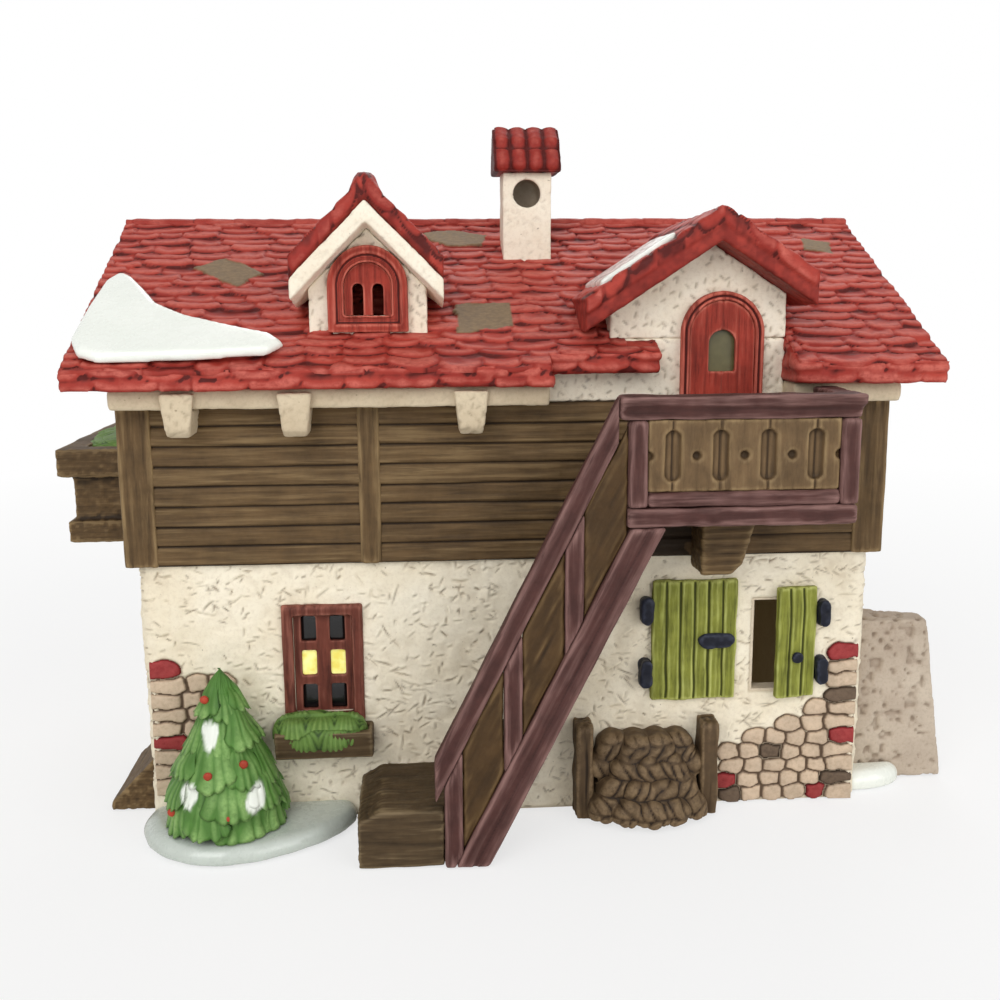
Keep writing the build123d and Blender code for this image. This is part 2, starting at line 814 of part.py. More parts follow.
with BuildPart() as chimney_cap:
    cap_half = chimney_depth / 2 + cap_overhang
    cap_eave = stack_top + cap_wall
    cap_middle = cap_eave + cap_rise / 2
    with BuildSketch(Plane.YZ.offset(chimney_x_limits[0] - cap_overhang)):
        with BuildLine():
            Polyline((-cap_half - chimney_setback, stack_top), (-cap_half - chimney_setback, cap_eave),
                     (-cap_half / 2 - chimney_setback, cap_middle),
                     (-cap_half / 2 - chimney_setback, cap_middle + cap_step),
                     (-chimney_setback, cap_eave + cap_rise),
                     (cap_half / 2 - chimney_setback, cap_middle + cap_step),
                     (cap_half / 2 - chimney_setback, cap_middle),
                     (cap_half - chimney_setback, cap_eave), (cap_half - chimney_setback, stack_top),
                     close=True)
        make_face()
    extrude(amount=chimney_width + 2 * cap_overhang)
save(chimney_cap, "chimney_cap")


# Shingles: courses with a notch at each joint, thin at the head and thick at the butt
def course_edge(course):
    """Lower edge of a course, with joints staggered from the course below."""
    low = course * exposure - slope_length
    points = [(-half_roof, low)]
    for joint in range(int(roof_length / shingle_width)):
        x = -half_roof + shingle_width * (joint + (1 + course % 2) / 2)
        if x < half_roof - shingle_notch:
            points += [(x - shingle_notch, low), (x, low + shingle_joint), (x + shingle_notch, low)]
    return points + [(half_roof, low), (half_roof, low + exposure), (-half_roof, low + exposure)]


def sawtooth():
    """Space over the sloping tops of the courses."""
    points = []
    for course in range(course_count):
        low = course * exposure - slope_length
        points += [(low, shingle_butt), (low + exposure, shingle_head)]
    return points + [(0, shingle_butt + overrun), (-slope_length, shingle_butt + overrun)]


def lay_shingles(slope, label, holes=()):
    """All the courses of one slope, less the holes."""
    with BuildPart() as shingles:
        for course in range(course_count):
            with BuildSketch(slope):
                with BuildLine():
                    Polyline(*course_edge(course), close=True)
                make_face()
        extrude(amount=shingle_butt)
        with BuildSketch(Plane(slope.origin, x_dir=slope.y_dir, z_dir=slope.x_dir)):
            with BuildLine():
                Polyline(*sawtooth(), close=True)
            make_face()
        extrude(amount=half_roof + overrun, both=True, mode=Mode.SUBTRACT)
        for hole in holes:
            add(hole, mode=Mode.SUBTRACT)
    save(shingles, label)


with BuildPart() as step_holes:
    eave_limit = -eave_y - shingle_butt - overrun
    block((step_left, door_dormer_right), (eave_limit, short_eave_y), (timber_top, ridge_top))
    block((step_right, door_dormer_right), (eave_limit, timber_front), (timber_top, ridge_top))
    block(chimney_x_limits, chimney_y_limits, (timber_top, stack_top))
lay_shingles(front_slope, "front_shingles",
             [dormer_envelope(window_dormer), dormer_envelope(door_dormer), step_holes.part])
lay_shingles(back_slope, "back_shingles")

# Snow: a patch on the front slope, at the left end, and one on the left slope of the door dormer
with BuildPart() as roof_snow:
    snow_corner = (-half_roof + snow_inset, -slope_length + snow_inset)
    with BuildSketch(front_slope.offset(shingle_butt)):
        with BuildLine():
            Polyline(*[(snow_corner[0] + x * snow_length, snow_corner[1] + y * snow_depth)
                       for x, y in snow_shares], close=True)
        make_face()
    extrude(amount=snow_thickness)
    snow_top = roof_snow.faces().sort_by(Axis((0, 0, 0), front_slope.z_dir))[-1]
    chamfer(snow_top.edges(), length=snow_bevel)
    snow_ends = [door_dormer.eave_left + share * (door_dormer.apex_x - door_dormer.eave_left)
                 for share in dormer_snow_shares]
    snow_front, snow_back = [door_dormer.roof_front * (1 - share) for share in dormer_snow_depth_shares]
    snow_lift = door_dormer_tile - door_dormer.drop(snow_front)
    with BuildSketch(Plane.XZ.offset(-snow_front)):
        with BuildLine():
            Polyline(*[(x, door_dormer.height(x, snow_lift)) for x in snow_ends],
                     *[(x, door_dormer.height(x, snow_lift + dormer_snow_thickness))
                       for x in reversed(snow_ends)], close=True)
        make_face()
    extrude(amount=hypot(1, door_dormer.fall) * (snow_back - snow_front), dir=door_dormer.direction)
    with BuildSketch(Plane.YZ):
        with BuildLine():
            Polyline(*main_roof_below(shingle_butt), close=True)
        make_face()
    extrude(amount=half_roof, mode=Mode.SUBTRACT)
save(roof_snow, "roof_snow")

# Balcony: deck, slotted boards between posts, moulded rails
with BuildPart() as balcony_deck:
    block((balcony_left, balcony_right), (balcony_front, timber_front), (deck_bottom, deck_top))
save(balcony_deck, "balcony_deck")

with BuildPart() as balcony_posts:
    for post_left in (balcony_left, balcony_right - balcony_post):
        block((post_left, post_left + balcony_post), (balcony_front, balcony_front + balcony_post),
              (deck_top, panel_top))
save(balcony_posts, "balcony_posts")

with BuildPart() as balcony_panels:
    panel_face = balcony_front + (balcony_post - balcony_panel_thickness) / 2
    panel_left = balcony_left + balcony_post
    panel_right = balcony_right - balcony_post
    panel_centre = (panel_left + panel_right) / 2
    panel_middle = (panel_bottom + panel_top) / 2
    block((panel_left, panel_right), (panel_face, panel_face + balcony_panel_thickness),
          (panel_bottom, panel_top))
    with BuildSketch(Plane.XZ.offset(-panel_face)) as slots:
        with Locations((panel_centre, panel_middle)):
            with GridLocations(balcony_slot_pitch, 0, balcony_slot_count, 1):
                Rectangle(balcony_slot_width, balcony_slot_height)
        chamfer(slots.vertices(), length=balcony_slot_clip)
        with Locations((panel_centre, panel_middle)):
            with GridLocations(balcony_slot_pitch, 0, balcony_slot_count + 1, 1):
                RegularPolygon(balcony_hole_radius, 8)
    extrude(amount=-balcony_slot_depth, mode=Mode.SUBTRACT)
    side_face = balcony_right - panel_face + balcony_front
    block((side_face - balcony_panel_thickness, side_face), (balcony_front + balcony_post, timber_front),
          (panel_bottom, panel_top))
save(balcony_panels, "balcony_panels")

with BuildPart() as balcony_bottom_rail:
    block((panel_left, panel_right), (balcony_front, balcony_front + bottom_rail_depth),
          (deck_top, panel_bottom))
    block((balcony_right - bottom_rail_depth, balcony_right), (balcony_front + balcony_post, timber_front),
          (deck_top, panel_bottom))
    fillet(balcony_bottom_rail.edges().filter_by(Axis.X).group_by(Axis.Y)[0], radius=bottom_rail_height / 3)
save(balcony_bottom_rail, "balcony_bottom_rail")

with BuildPart() as balcony_top_rail:
    neck_top = rail_top - rail_cap_height
    for low, high, step in ((panel_top, neck_top, rail_step), (neck_top, rail_top, 0)):
        with BuildSketch(Plane.XY.offset(low)):
            with Locations((stair_head, balcony_front - rail_step + step)):
                Rectangle(balcony_right - stair_head + rail_step - step, rail_depth + rail_step - step,
                          align=(Align.MIN, Align.MIN))
            with Locations((balcony_right + rail_step - step, balcony_front)):
                Rectangle(rail_depth + rail_step - step, -soffit_y - balcony_front,
                          align=(Align.MAX, Align.MIN))
        extrude(amount=high - low)
save(balcony_top_rail, "balcony_top_rail")

with BuildPart() as balcony_bracket:
    with BuildSketch(timber_plane):
        with BuildLine():
            bracket_left = bracket_x - bracket_top / 2
            bracket_foot = deck_bottom - bracket_height
            Polyline((bracket_left, deck_bottom), (bracket_left + bracket_top, deck_bottom),
                     (bracket_left + bracket_bottom, bracket_foot + bracket_clip),
                     (bracket_left + bracket_bottom - bracket_clip, bracket_foot),
                     (bracket_left, bracket_foot), close=True)
        make_face()
    extrude(amount=bracket_depth)
save(balcony_bracket, "balcony_bracket")

# Outside stair: balustrade of posts and panels between a handrail and a stringer, steps behind
panel_drop = handrail_width + stair_panel_width
stringer_drop = panel_drop + stringer_width
handrail_end = rail_line_x(handrail_foot, 0)
stair_post_pitch = (balcony_left - handrail_end - stair_post_end) / stair_post_count
stair_posts_x = [balcony_left - index * stair_post_pitch for index in range(1, stair_post_count + 1)]
lowest_post_left = stair_posts_x[-1]

with BuildPart() as stair_handrail:
    with BuildSketch(stair_plane):
        with BuildLine():
            Polyline(*[(x, rail_line(x, 0)) for x in (handrail_end, stair_head)],
                     *[(x, rail_line(x, handrail_width)) for x in (stair_head, handrail_end)], close=True)
        make_face()
    extrude(amount=stair_rail_depth)
save(stair_handrail, "stair_handrail")

with BuildPart() as stair_stringer:
    groove_drop = (panel_drop + stringer_drop) / 2
    with BuildSketch(stair_plane):
        with BuildLine():
            Polyline(*[(rail_line_x(z, panel_drop), z) for z in (0, deck_bottom)],
                     *[(rail_line_x(z, stringer_drop), z) for z in (deck_bottom, 0)], close=True)
        make_face()
    extrude(amount=stair_rail_depth)
    with BuildSketch(Plane.XZ.offset(-balcony_front)):
        with BuildLine():
            Polyline(*[(rail_line_x(z, groove_drop), z) for z in (0, deck_bottom)],
                     *[(rail_line_x(z, groove_drop + stringer_groove), z) for z in (deck_bottom, 0)],
                     close=True)
        make_face()
    extrude(amount=-stringer_groove, mode=Mode.SUBTRACT)
save(stair_stringer, "stair_stringer")

with BuildPart() as stair_posts:
    for post_x in stair_posts_x:
        with BuildSketch(stair_plane):
            with BuildLine():
                Polyline(*[(x, rail_line(x, panel_drop)) for x in (post_x, post_x + balcony_post)],
                         *[(x, rail_line(x, handrail_width)) for x in (post_x + balcony_post, post_x)],
                         close=True)
            make_face()
    extrude(amount=stair_rail_depth)
    block((-half_roof, half_roof), (balcony_front - overrun, timber_front), (-eave_y, 0), mode=Mode.SUBTRACT)
save(stair_posts, "stair_posts")

with BuildPart() as stair_panels:
    for panel_end in stair_posts_x:
        panel_start = panel_end + balcony_post
        panel_stop = panel_end + stair_post_pitch
        with BuildSketch(stair_plane.offset(stair_rail_depth - stair_panel_recess - stair_panel_thickness)):
            with BuildLine():
                Polyline(*[(x, rail_line(x, panel_drop)) for x in (panel_start, panel_stop)],
                         *[(x, rail_line(x, handrail_width)) for x in (panel_stop, panel_start)], close=True)
            make_face()
    extrude(amount=stair_panel_thickness)
save(stair_panels, "stair_panels")

step_rise = deck_top / step_count
step_going = step_rise / stair_slope
flight_outer = balcony_front + stair_rail_depth
first_riser = balcony_left - (step_count - 1) * step_going
with BuildPart() as stair_flight:
    nosings = []
    for step in range(1, step_count):
        riser_x = first_riser + (step - 1) * step_going
        nosings += [(riser_x, (step - 1) * step_rise), (riser_x, step * step_rise)]
    flight_end = balcony_left + flight_under_deck
    with BuildSketch(Plane.XZ.offset(-timber_front)):
        with BuildLine():
            Polyline(*nosings, (balcony_left, (step_count - 1) * step_rise), (balcony_left, deck_bottom),
                     (flight_end, deck_bottom), (flight_end, rail_line(flight_end, stringer_drop)),
                     (rail_line_x(0, stringer_drop), 0), close=True)
        make_face()
    extrude(amount=timber_front - flight_outer)
save(stair_flight, "stair_flight")

foot_block_left = first_riser - foot_block_length
with BuildPart() as stair_foot_block:
    with BuildSketch(Plane.XZ.offset(-front_y)):
        with BuildLine():
            Polyline((foot_block_left, 0), (first_riser, 0), (first_riser, foot_block_height),
                     (foot_block_left + foot_block_slope, foot_block_height),
                     (foot_block_left, foot_block_height - foot_block_slope / 2), close=True)
        make_face()
    extrude(amount=front_y - balcony_front - foot_block_setback)
    block((lowest_post_left, first_riser + overrun), (balcony_front - overrun, flight_outer),
          (-overrun, foot_block_height + overrun), mode=Mode.SUBTRACT)
save(stair_foot_block, "stair_foot_block")

# Ground floor window: casing on the stucco, sash in the opening, lit panes, planter box with greens
window_middle = window_sill + window_height / 2
sash_width = window_width - 2 * casing_width
sash_height = window_height - 2 * casing_width
pane_width = (sash_width - 2 * sash_stile - sash_middle_stile) / 2
pane_height = (sash_height - 2 * sash_rail - 2 * sash_middle_rail) / 3
pane_pitch_x = pane_width + sash_middle_stile
pane_pitch_z = pane_height + sash_middle_rail
with BuildPart() as window_casing:
    with BuildSketch(front_plane):
        with Locations((window_x, window_middle)):
            Rectangle(window_width, window_height)
            Rectangle(sash_width, sash_height, mode=Mode.SUBTRACT)
    extrude(amount=casing_proud)
    chamfer(window_casing.faces().sort_by(Axis.Y)[0].outer_wire().edges(), length=casing_chamfer)
save(window_casing, "window_casing")

with BuildPart() as window_sash:
    with BuildSketch(front_plane):
        with Locations((window_x, window_middle)):
            Rectangle(sash_width, sash_height)
            with GridLocations(pane_pitch_x, pane_pitch_z, 2, 3):
                Rectangle(pane_width, pane_height, mode=Mode.SUBTRACT)
    extrude(amount=-sash_thickness)
save(window_sash, "window_sash")

with BuildPart() as lit_panes:
    with BuildSketch(front_plane.offset(-sash_thickness)):
        with Locations((window_x, window_middle)):
            with GridLocations(pane_pitch_x, 0, 2, 1):
                Rectangle(pane_width, pane_height)
    extrude(amount=lit_pane_thickness)
save(lit_panes, "lit_panes")

with BuildPart() as window_box:
    box_top = window_sill
    box_bottom = box_top - window_box_height
    with BuildSketch(Plane.YZ.offset(window_x - window_box_length / 2)):
        with BuildLine():
            Polyline((front_y, box_bottom), (front_y, box_top), (front_y - window_box_depth, box_top),
                     (front_y - window_box_depth + window_box_taper, box_bottom), close=True)
        make_face()
    extrude(amount=window_box_length)
    block((window_x - window_box_length / 2 + window_box_wall,
           window_x + window_box_length / 2 - window_box_wall),
          (front_y - window_box_depth + window_box_wall + window_box_taper, front_y - casing_proud),
          (box_bottom + window_box_wall, box_top + overrun), mode=Mode.SUBTRACT)
save(window_box, "window_box")


def bumpy_row(start, length, top, bumps):
    """Ends and crown of each arc in a row of rounded bumps."""
    pitch = length / bumps
    return [((start + index * pitch, top), (start + (index + 1 / 2) * pitch, top + pitch / 3),
             (start + (index + 1) * pitch, top)) for index in range(bumps)]


with BuildPart() as window_box_greens:
    greens_left = window_x - window_box_length / 2 + window_box_wall
    greens_length = window_box_length - 2 * window_box_wall
    greens_front = front_y - window_box_depth + window_box_wall + window_box_taper
    greens_bottom = box_bottom + window_box_wall
    greens_top = box_top + greens_height - greens_length / greens_bumps / 3
    with BuildSketch(Plane.XZ.offset(-front_y + casing_proud)):
        with BuildLine():
            for arc in bumpy_row(greens_left, greens_length, greens_top, greens_bumps):
                ThreePointArc(*arc)
            Polyline((greens_left, greens_top), (greens_left, greens_bottom),
                     (greens_left + greens_length, greens_bottom), (greens_left + greens_length, greens_top))
        make_face()
    extrude(amount=front_y - casing_proud - greens_front)
save(window_box_greens, "window_box_greens")

# Shutters: the left one shut, the right one moulded ajar before its opening
left_shutter_left = left_shutter_x - left_shutter_width / 2
left_shutter_middle = shutter_bottom + left_shutter_height / 2
with BuildPart() as left_shutter:
    with BuildSketch(front_plane):
        with Locations((left_shutter_x, left_shutter_middle)):
            Rectangle(left_shutter_width, left_shutter_height)
    extrude(amount=shutter_thickness)
    shutter_face = front_y - shutter_thickness
    for board in range(1, shutter_boards):
        groove_x = left_shutter_left + board * left_shutter_width / shutter_boards
        block((groove_x - groove_width / 2, groove_x + groove_width / 2),
              (shutter_face - overrun, shutter_face + groove_depth),
              (shutter_bottom - overrun, shutter_bottom + left_shutter_height + overrun), mode=Mode.SUBTRACT)
save(left_shutter, "left_shutter")

ajar_cos = cos(radians(right_shutter_angle))
ajar_sin = sin(radians(right_shutter_angle))
hinge_y = front_y - shutter_thickness / 2 * ajar_cos
ajar_plane = Plane((right_shutter_hinge_x, hinge_y, shutter_bottom), x_dir=(ajar_cos, ajar_sin, 0),
                   z_dir=(0, 0, 1))
with BuildPart() as right_shutter:
    with BuildSketch(ajar_plane):
        Rectangle(right_shutter_width, shutter_thickness, align=(Align.MAX, Align.CENTER))
        for board in range(1, shutter_boards - 1):
            with Locations((-board * right_shutter_width / (shutter_boards - 1), -shutter_thickness / 2)):
                Rectangle(groove_width, 2 * groove_depth, mode=Mode.SUBTRACT)
    extrude(amount=right_shutter_height)
save(right_shutter, "right_shutter")

with BuildPart() as shutter_ironwork:
    pivot_x = right_shutter_hinge_x + shutter_thickness / 2 * ajar_sin
    for share in hinge_shares:
        with BuildSketch(front_plane) as hinges:
            with Locations((left_shutter_left - hinge_width / 2, shutter_bottom + share * left_shutter_height),
                           (pivot_x + hinge_width / 2, shutter_bottom + share * right_shutter_height)):
                Rectangle(hinge_width, hinge_height)
            chamfer(hinges.vertices(), length=hinge_clip)
    extrude(amount=2 * shutter_thickness)
    with BuildSketch(front_plane.offset(shutter_thickness)) as latch:
        with Locations((left_shutter_left + latch_inset_share * left_shutter_width, left_shutter_middle)):
            Rectangle(latch_length, latch_width)
        chamfer(latch.vertices(), length=latch_clip)
    extrude(amount=latch_thickness)
    knob_plane = Plane(ajar_plane.origin, x_dir=ajar_plane.x_dir, z_dir=-ajar_plane.y_dir)
    with BuildSketch(knob_plane.offset(shutter_thickness / 2)):
        with Locations((knob_share * right_shutter_width - right_shutter_width,
                        knob_height_share * right_shutter_height)):
            Circle(knob_radius)
    extrude(amount=knob_thickness)
save(shutter_ironwork, "shutter_ironwork")

# Firewood rack against the front wall
stones_left = right_x - corner_radius - (max(right_stone_counts) + 1 / 4) * stone_pitch
rack_left = rack_share * house_length
rack_right = stones_left - rack_clearance
rack_length = rack_right - rack_left
with BuildPart() as rack_posts:
    with BuildSketch(front_plane):
        for post_left in (rack_left, rack_right - rack_post_width):
            with Locations((post_left + rack_post_width / 2, rack_post_height / 2)):
                Rectangle(rack_post_width, rack_post_height)
    extrude(amount=rack_post_depth)
    fillet(rack_posts.edges().filter_by(Axis.X).group_by(Axis.Z)[-1], radius=rack_post_round)
save(rack_posts, "rack_posts")

with BuildPart() as rack_firewood:
    stack_length = rack_length - 2 * rack_post_width
    logs_per_row = int(stack_length / log_width)
    log_size = stack_length / logs_per_row
    log_corner = log_size / 2 / cos(radians(30))
    for row in range(log_rows):
        row_count = logs_per_row - row % 2
        for index in range(row_count):
            across = (index - (row_count - 1) / 2) * log_size
            bulge = log_bulge * (2 * across / stack_length) ** 2
            with BuildSketch(front_plane):
                with Locations((rack_left + rack_length / 2 + across, log_corner + row * log_corner * 3 / 2)):
                    RegularPolygon(log_corner, 6, rotation=30)
            extrude(amount=rack_depth - bulge - row * log_setback)
save(rack_firewood, "rack_firewood")

# Tree in front of the wall, on a pad of snow
pad_left = -right_x - pad_left_overhang
pad_right = foot_block_left - pad_gap
pad_length = pad_right - pad_left
with BuildPart() as tree_snow_pad:
    pad_points = [(pad_left + x * pad_length, front_y - y * pad_front) for x, y in pad_shares]
    with BuildSketch():
        with BuildLine():
            Polyline(*pad_points, close=True)
        make_face()
    extrude(amount=pad_height)
    pad_rim = tree_snow_pad.faces().sort_by(Axis.Z)[-1].edges().sort_by(Axis.Y)[:-1]
    chamfer(pad_rim, length=pad_bevel)
save(tree_snow_pad, "tree_snow_pad")

tree_x = pad_left + tree_share * pad_length
tree_y = front_y - tree_offset

with BuildPart() as tree:
    tier_rise = tree_height / tree_tiers
    half_side = 180 / tree_sides
    for tier in range(tree_tiers):
        skirt = tree_radius * (1 - tier / tree_tiers)
        neck = skirt * tree_neck_share if tier < tree_tiers - 1 else skirt * tree_top_share
        low = pad_height + tier * tier_rise - (tree_overlap_share * tier_rise if tier else 0)
        high = pad_height + (tier + 1) * tier_rise
        lean = degrees(atan((skirt - neck) * cos(radians(half_side)) / (high - low)))
        for turn in (0, half_side):
            with BuildSketch(Plane.XY.offset(low)):
                with Locations((tree_x, tree_y)):
                    RegularPolygon(skirt, tree_sides, rotation=turn + tier * half_side / 2)
            extrude(amount=high - low, taper=lean)
    block((tree_x - 2 * tree_radius, tree_x + 2 * tree_radius), (front_y, front_y + 2 * tree_radius),
          (0, 2 * tree_height), mode=Mode.SUBTRACT)
save(tree, "tree")

# Planter balcony on the left gable
side_bottom = ground_storey_height - side_balcony_drop
side_tops = (side_bottom + side_balcony_base, side_bottom + side_balcony_base + side_balcony_panel,
             side_bottom + side_balcony_base + side_balcony_panel + side_balcony_rail)
side_outer = timber_left - side_balcony_projection
with BuildPart() as side_balcony:
    for low, high, step in ((side_bottom, side_tops[0], side_balcony_step),
                            (side_tops[0], side_tops[1], 2 * side_balcony_step),
                            (side_tops[1], side_tops[2], 0)):
        block((side_outer + step, timber_left),
              (-side_balcony_length / 2 + step, side_balcony_length / 2 - step), (low, high))
    tray = side_balcony_wall + 2 * side_balcony_step
    block((side_outer + tray, timber_left), (-side_balcony_length / 2 + tray, side_balcony_length / 2 - tray),
          (side_tops[0], side_tops[2] + overrun), mode=Mode.SUBTRACT)
    for bracket_y in (-side_balcony_length / 4, side_balcony_length / 4):
        with BuildSketch(Plane.XZ.offset(-bracket_y - side_bracket_width / 2)):
            with BuildLine():
                Polyline((timber_left, side_bottom), (timber_left - side_bracket_reach, side_bottom),
                         (timber_left, side_bottom - side_bracket_height), close=True)
            make_face()
        extrude(amount=side_bracket_width)
save(side_balcony, "side_balcony")

with BuildPart() as side_balcony_greens:
    greens_start = -side_balcony_length / 2 + tray
    side_greens_length = side_balcony_length - 2 * tray
    side_crown = side_tops[2] + side_greens_height - side_greens_length / side_greens_bumps / 3
    with BuildSketch(Plane.YZ.offset(side_outer + tray)):
        with BuildLine():
            for arc in bumpy_row(greens_start, side_greens_length, side_crown, side_greens_bumps):
                ThreePointArc(*arc)
            Polyline((greens_start, side_crown), (greens_start, side_tops[0]),
                     (greens_start + side_greens_length, side_tops[0]),
                     (greens_start + side_greens_length, side_crown))
        make_face()
    extrude(amount=side_balcony_projection - tray)
save(side_balcony_greens, "side_balcony_greens")

# Cellar hatch, a sloping lid of boards at the left foot
hatch_front = front_y + cellar_hatch_front
with BuildPart() as cellar_hatch:
    with BuildSketch(Plane.XZ.offset(-hatch_front - cellar_hatch_length)):
        with BuildLine():
            Polyline((-right_x, 0), (-right_x, cellar_hatch_height),
                     (-right_x - cellar_hatch_reach, cellar_hatch_lip), (-right_x - cellar_hatch_reach, 0),
                     close=True)
        make_face()
    extrude(amount=cellar_hatch_length)
    lid_angle = Plane((-right_x, hatch_front, cellar_hatch_height),
                      x_dir=(cellar_hatch_reach, 0, cellar_hatch_height - cellar_hatch_lip),
                      z_dir=(cellar_hatch_lip - cellar_hatch_height, 0, cellar_hatch_reach))
    board_pitch = cellar_hatch_length / cellar_hatch_boards
    lid_length = hypot(cellar_hatch_reach, cellar_hatch_height)
    with BuildSketch(lid_angle):
        for board in range(1, cellar_hatch_boards):
            with Locations((0, board * board_pitch)):
                Rectangle(2 * lid_length, groove_width)
    extrude(amount=-groove_depth, mode=Mode.SUBTRACT)
save(cellar_hatch, "cellar_hatch")

# Yard wall on the right, thick at the house and battered at its end
yard_front = front_y + yard_setback
with BuildPart() as yard_wall:
    yard_end_x = right_x + yard_length
    with BuildSketch(Plane.XZ.offset(-yard_front - yard_root)):
        with BuildLine():
            Polyline((right_x, 0), (yard_end_x, 0), (yard_end_x - yard_batter, yard_height),
                     (right_x, yard_height), close=True)
        make_face()
    extrude(amount=yard_root)
    with BuildSketch():
        with BuildLine():
            Polyline((right_x, yard_front), (yard_end_x, yard_front), (yard_end_x, yard_front + yard_end),
                     (right_x, yard_front + yard_root), close=True)
        make_face()
    extrude(amount=yard_height, mode=Mode.INTERSECT)
save(yard_wall, "yard_wall")

with BuildPart() as yard_snow:
    with BuildSketch():
        with BuildLine():
            mound = [(right_x + x * yard_snow_length, yard_front - y * yard_snow_depth)
                     for x, y in yard_snow_shares]
            Polyline(*mound, (right_x, yard_front), close=True)
        make_face()
    extrude(amount=yard_snow_height)
    yard_rim = yard_snow.faces().sort_by(Axis.Z)[-1].edges()
    chamfer(yard_rim - yard_rim.filter_by(Axis.X) - yard_rim.filter_by(Axis.Y), length=yard_snow_bevel)
save(yard_snow, "yard_snow")

# Lamp: a socket held in the back wall by a spring clip, with a screw-in bulb
lamp_plane = Plane((0, back_y, lamp_height), x_dir=(1, 0, 0), z_dir=(0, -1, 0))
flange_face = -running_gap - clip_plate_thickness
with BuildPart() as lamp_socket:
    with BuildSketch(lamp_plane.offset(flange_face)):
        Circle(flange_radius)
    extrude(amount=-flange_thickness)
    with BuildSketch(lamp_plane.offset(flange_face)):
        Circle(socket_radius)
    extrude(amount=socket_length)
    with BuildSketch(lamp_plane.offset(flange_face + socket_length)):
        Circle(bulb_cap_radius)
    extrude(amount=-bulb_cap_length, mode=Mode.SUBTRACT)
save(lamp_socket, "lamp_socket")

clip_outer = sqrt((lamp_hole_radius - running_gap) ** 2 - (clip_width / 2) ** 2)
with BuildPart() as lamp_clip:
    with BuildSketch(lamp_plane.offset(flange_face)):
        Rectangle(2 * (lamp_hole_radius + clip_plate_margin), 2 * (socket_radius + clip_plate_margin))
        Circle(socket_radius, mode=Mode.SUBTRACT)
    extrude(amount=clip_plate_thickness)
    with BuildSketch(lamp_plane.offset(-running_gap)):
        with GridLocations(2 * clip_outer - clip_thickness, 0, 2, 1):
            Rectangle(clip_thickness, clip_width)
    extrude(amount=running_gap + shell_wall + clip_depth)
save(lamp_clip, "lamp_clip")

cap_start = flange_face + socket_length - bulb_cap_length
with BuildPart() as bulb_cap:
    with BuildSketch(lamp_plane.offset(cap_start)):
        Circle(bulb_cap_radius)
    extrude(amount=bulb_cap_length)
save(bulb_cap, "bulb_cap")

with BuildPart() as bulb_glass:
    glass_y = back_y - flange_face - socket_length
    glass_profile = [(glass_y - along * bulb_length, lamp_height + share * bulb_radius)
                     for share, along in bulb_shares]
    with BuildSketch(Plane.YZ):
        with BuildLine():
            Polyline((glass_y, lamp_height), *glass_profile, (glass_y - bulb_length, lamp_height), close=True)
        make_face()
    revolve(axis=Axis((0, 0, lamp_height), (0, 1, 0)))
save(bulb_glass, "bulb_glass")
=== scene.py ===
"""Looks of the lit ceramic village house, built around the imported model.

Shapes are worked out in millimetres and written in metres, in the model's own frame: the front faces -Y.
"""
import json
import math

import bmesh
import bpy
import numpy as np
from mathutils import Matrix, Vector

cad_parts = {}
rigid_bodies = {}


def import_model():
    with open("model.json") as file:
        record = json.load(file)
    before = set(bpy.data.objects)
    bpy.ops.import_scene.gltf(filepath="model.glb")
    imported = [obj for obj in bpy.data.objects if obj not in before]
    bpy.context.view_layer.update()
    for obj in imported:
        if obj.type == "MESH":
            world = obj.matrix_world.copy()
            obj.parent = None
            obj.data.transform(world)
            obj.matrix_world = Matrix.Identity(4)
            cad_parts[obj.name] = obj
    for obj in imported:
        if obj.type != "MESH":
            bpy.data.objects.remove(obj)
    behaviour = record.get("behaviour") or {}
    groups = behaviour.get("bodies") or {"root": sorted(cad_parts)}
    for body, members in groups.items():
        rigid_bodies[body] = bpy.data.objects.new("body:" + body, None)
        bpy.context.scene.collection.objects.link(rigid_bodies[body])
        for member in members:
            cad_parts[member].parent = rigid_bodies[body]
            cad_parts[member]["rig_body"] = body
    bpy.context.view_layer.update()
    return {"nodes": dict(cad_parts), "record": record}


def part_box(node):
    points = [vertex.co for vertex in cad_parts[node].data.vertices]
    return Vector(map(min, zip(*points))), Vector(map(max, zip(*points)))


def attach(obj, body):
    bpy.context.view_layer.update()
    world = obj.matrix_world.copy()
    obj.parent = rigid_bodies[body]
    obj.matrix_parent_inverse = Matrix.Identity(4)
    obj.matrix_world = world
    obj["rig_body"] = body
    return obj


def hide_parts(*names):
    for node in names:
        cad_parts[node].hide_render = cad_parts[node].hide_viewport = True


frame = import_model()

MM = 0.001
slot_of = {entry["node"]: entry["material_slot"] for entry in frame["record"]["subparts"]}
scene = bpy.context.scene


def node_box(node):
    """Lowest and highest corner of a node, in millimetres."""
    low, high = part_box(node)
    return np.array(low) / MM, np.array(high) / MM


# Main sizes, read from the frame, and the few that its boxes don't give
HOUSE_X, HOUSE_Y, GROUND_TOP = node_box("ground_floor_walls")[1]
TIMBER_X, TIMBER_Y, TIMBER_TOP = node_box("timber_storey")[1]
ROOF_X, EAVE_Y, RIDGE = node_box("roof_shell")[1]
EAVE_UNDER = node_box("roof_shell")[0][2]
EAVE_EDGE = 4.0
ROOF_PITCH = math.atan2(RIDGE - EAVE_UNDER - EAVE_EDGE, EAVE_Y)
SLOPE = EAVE_Y / math.cos(ROOF_PITCH)
CORNER_RADIUS = 2.5
PLANK_PITCH = 4.5
HATCH_LOW, HATCH_HIGH = (57.5, 28.5), (70.5, 50.5)
LAMP_HOLE_Z, LAMP_HOLE_RADIUS = 25.0, 18.0
STAIR_ANGLE = math.radians(63.4)
WINDOW_DORMER_PITCH, DOOR_DORMER_PITCH = math.radians(45.0), math.radians(33.0)
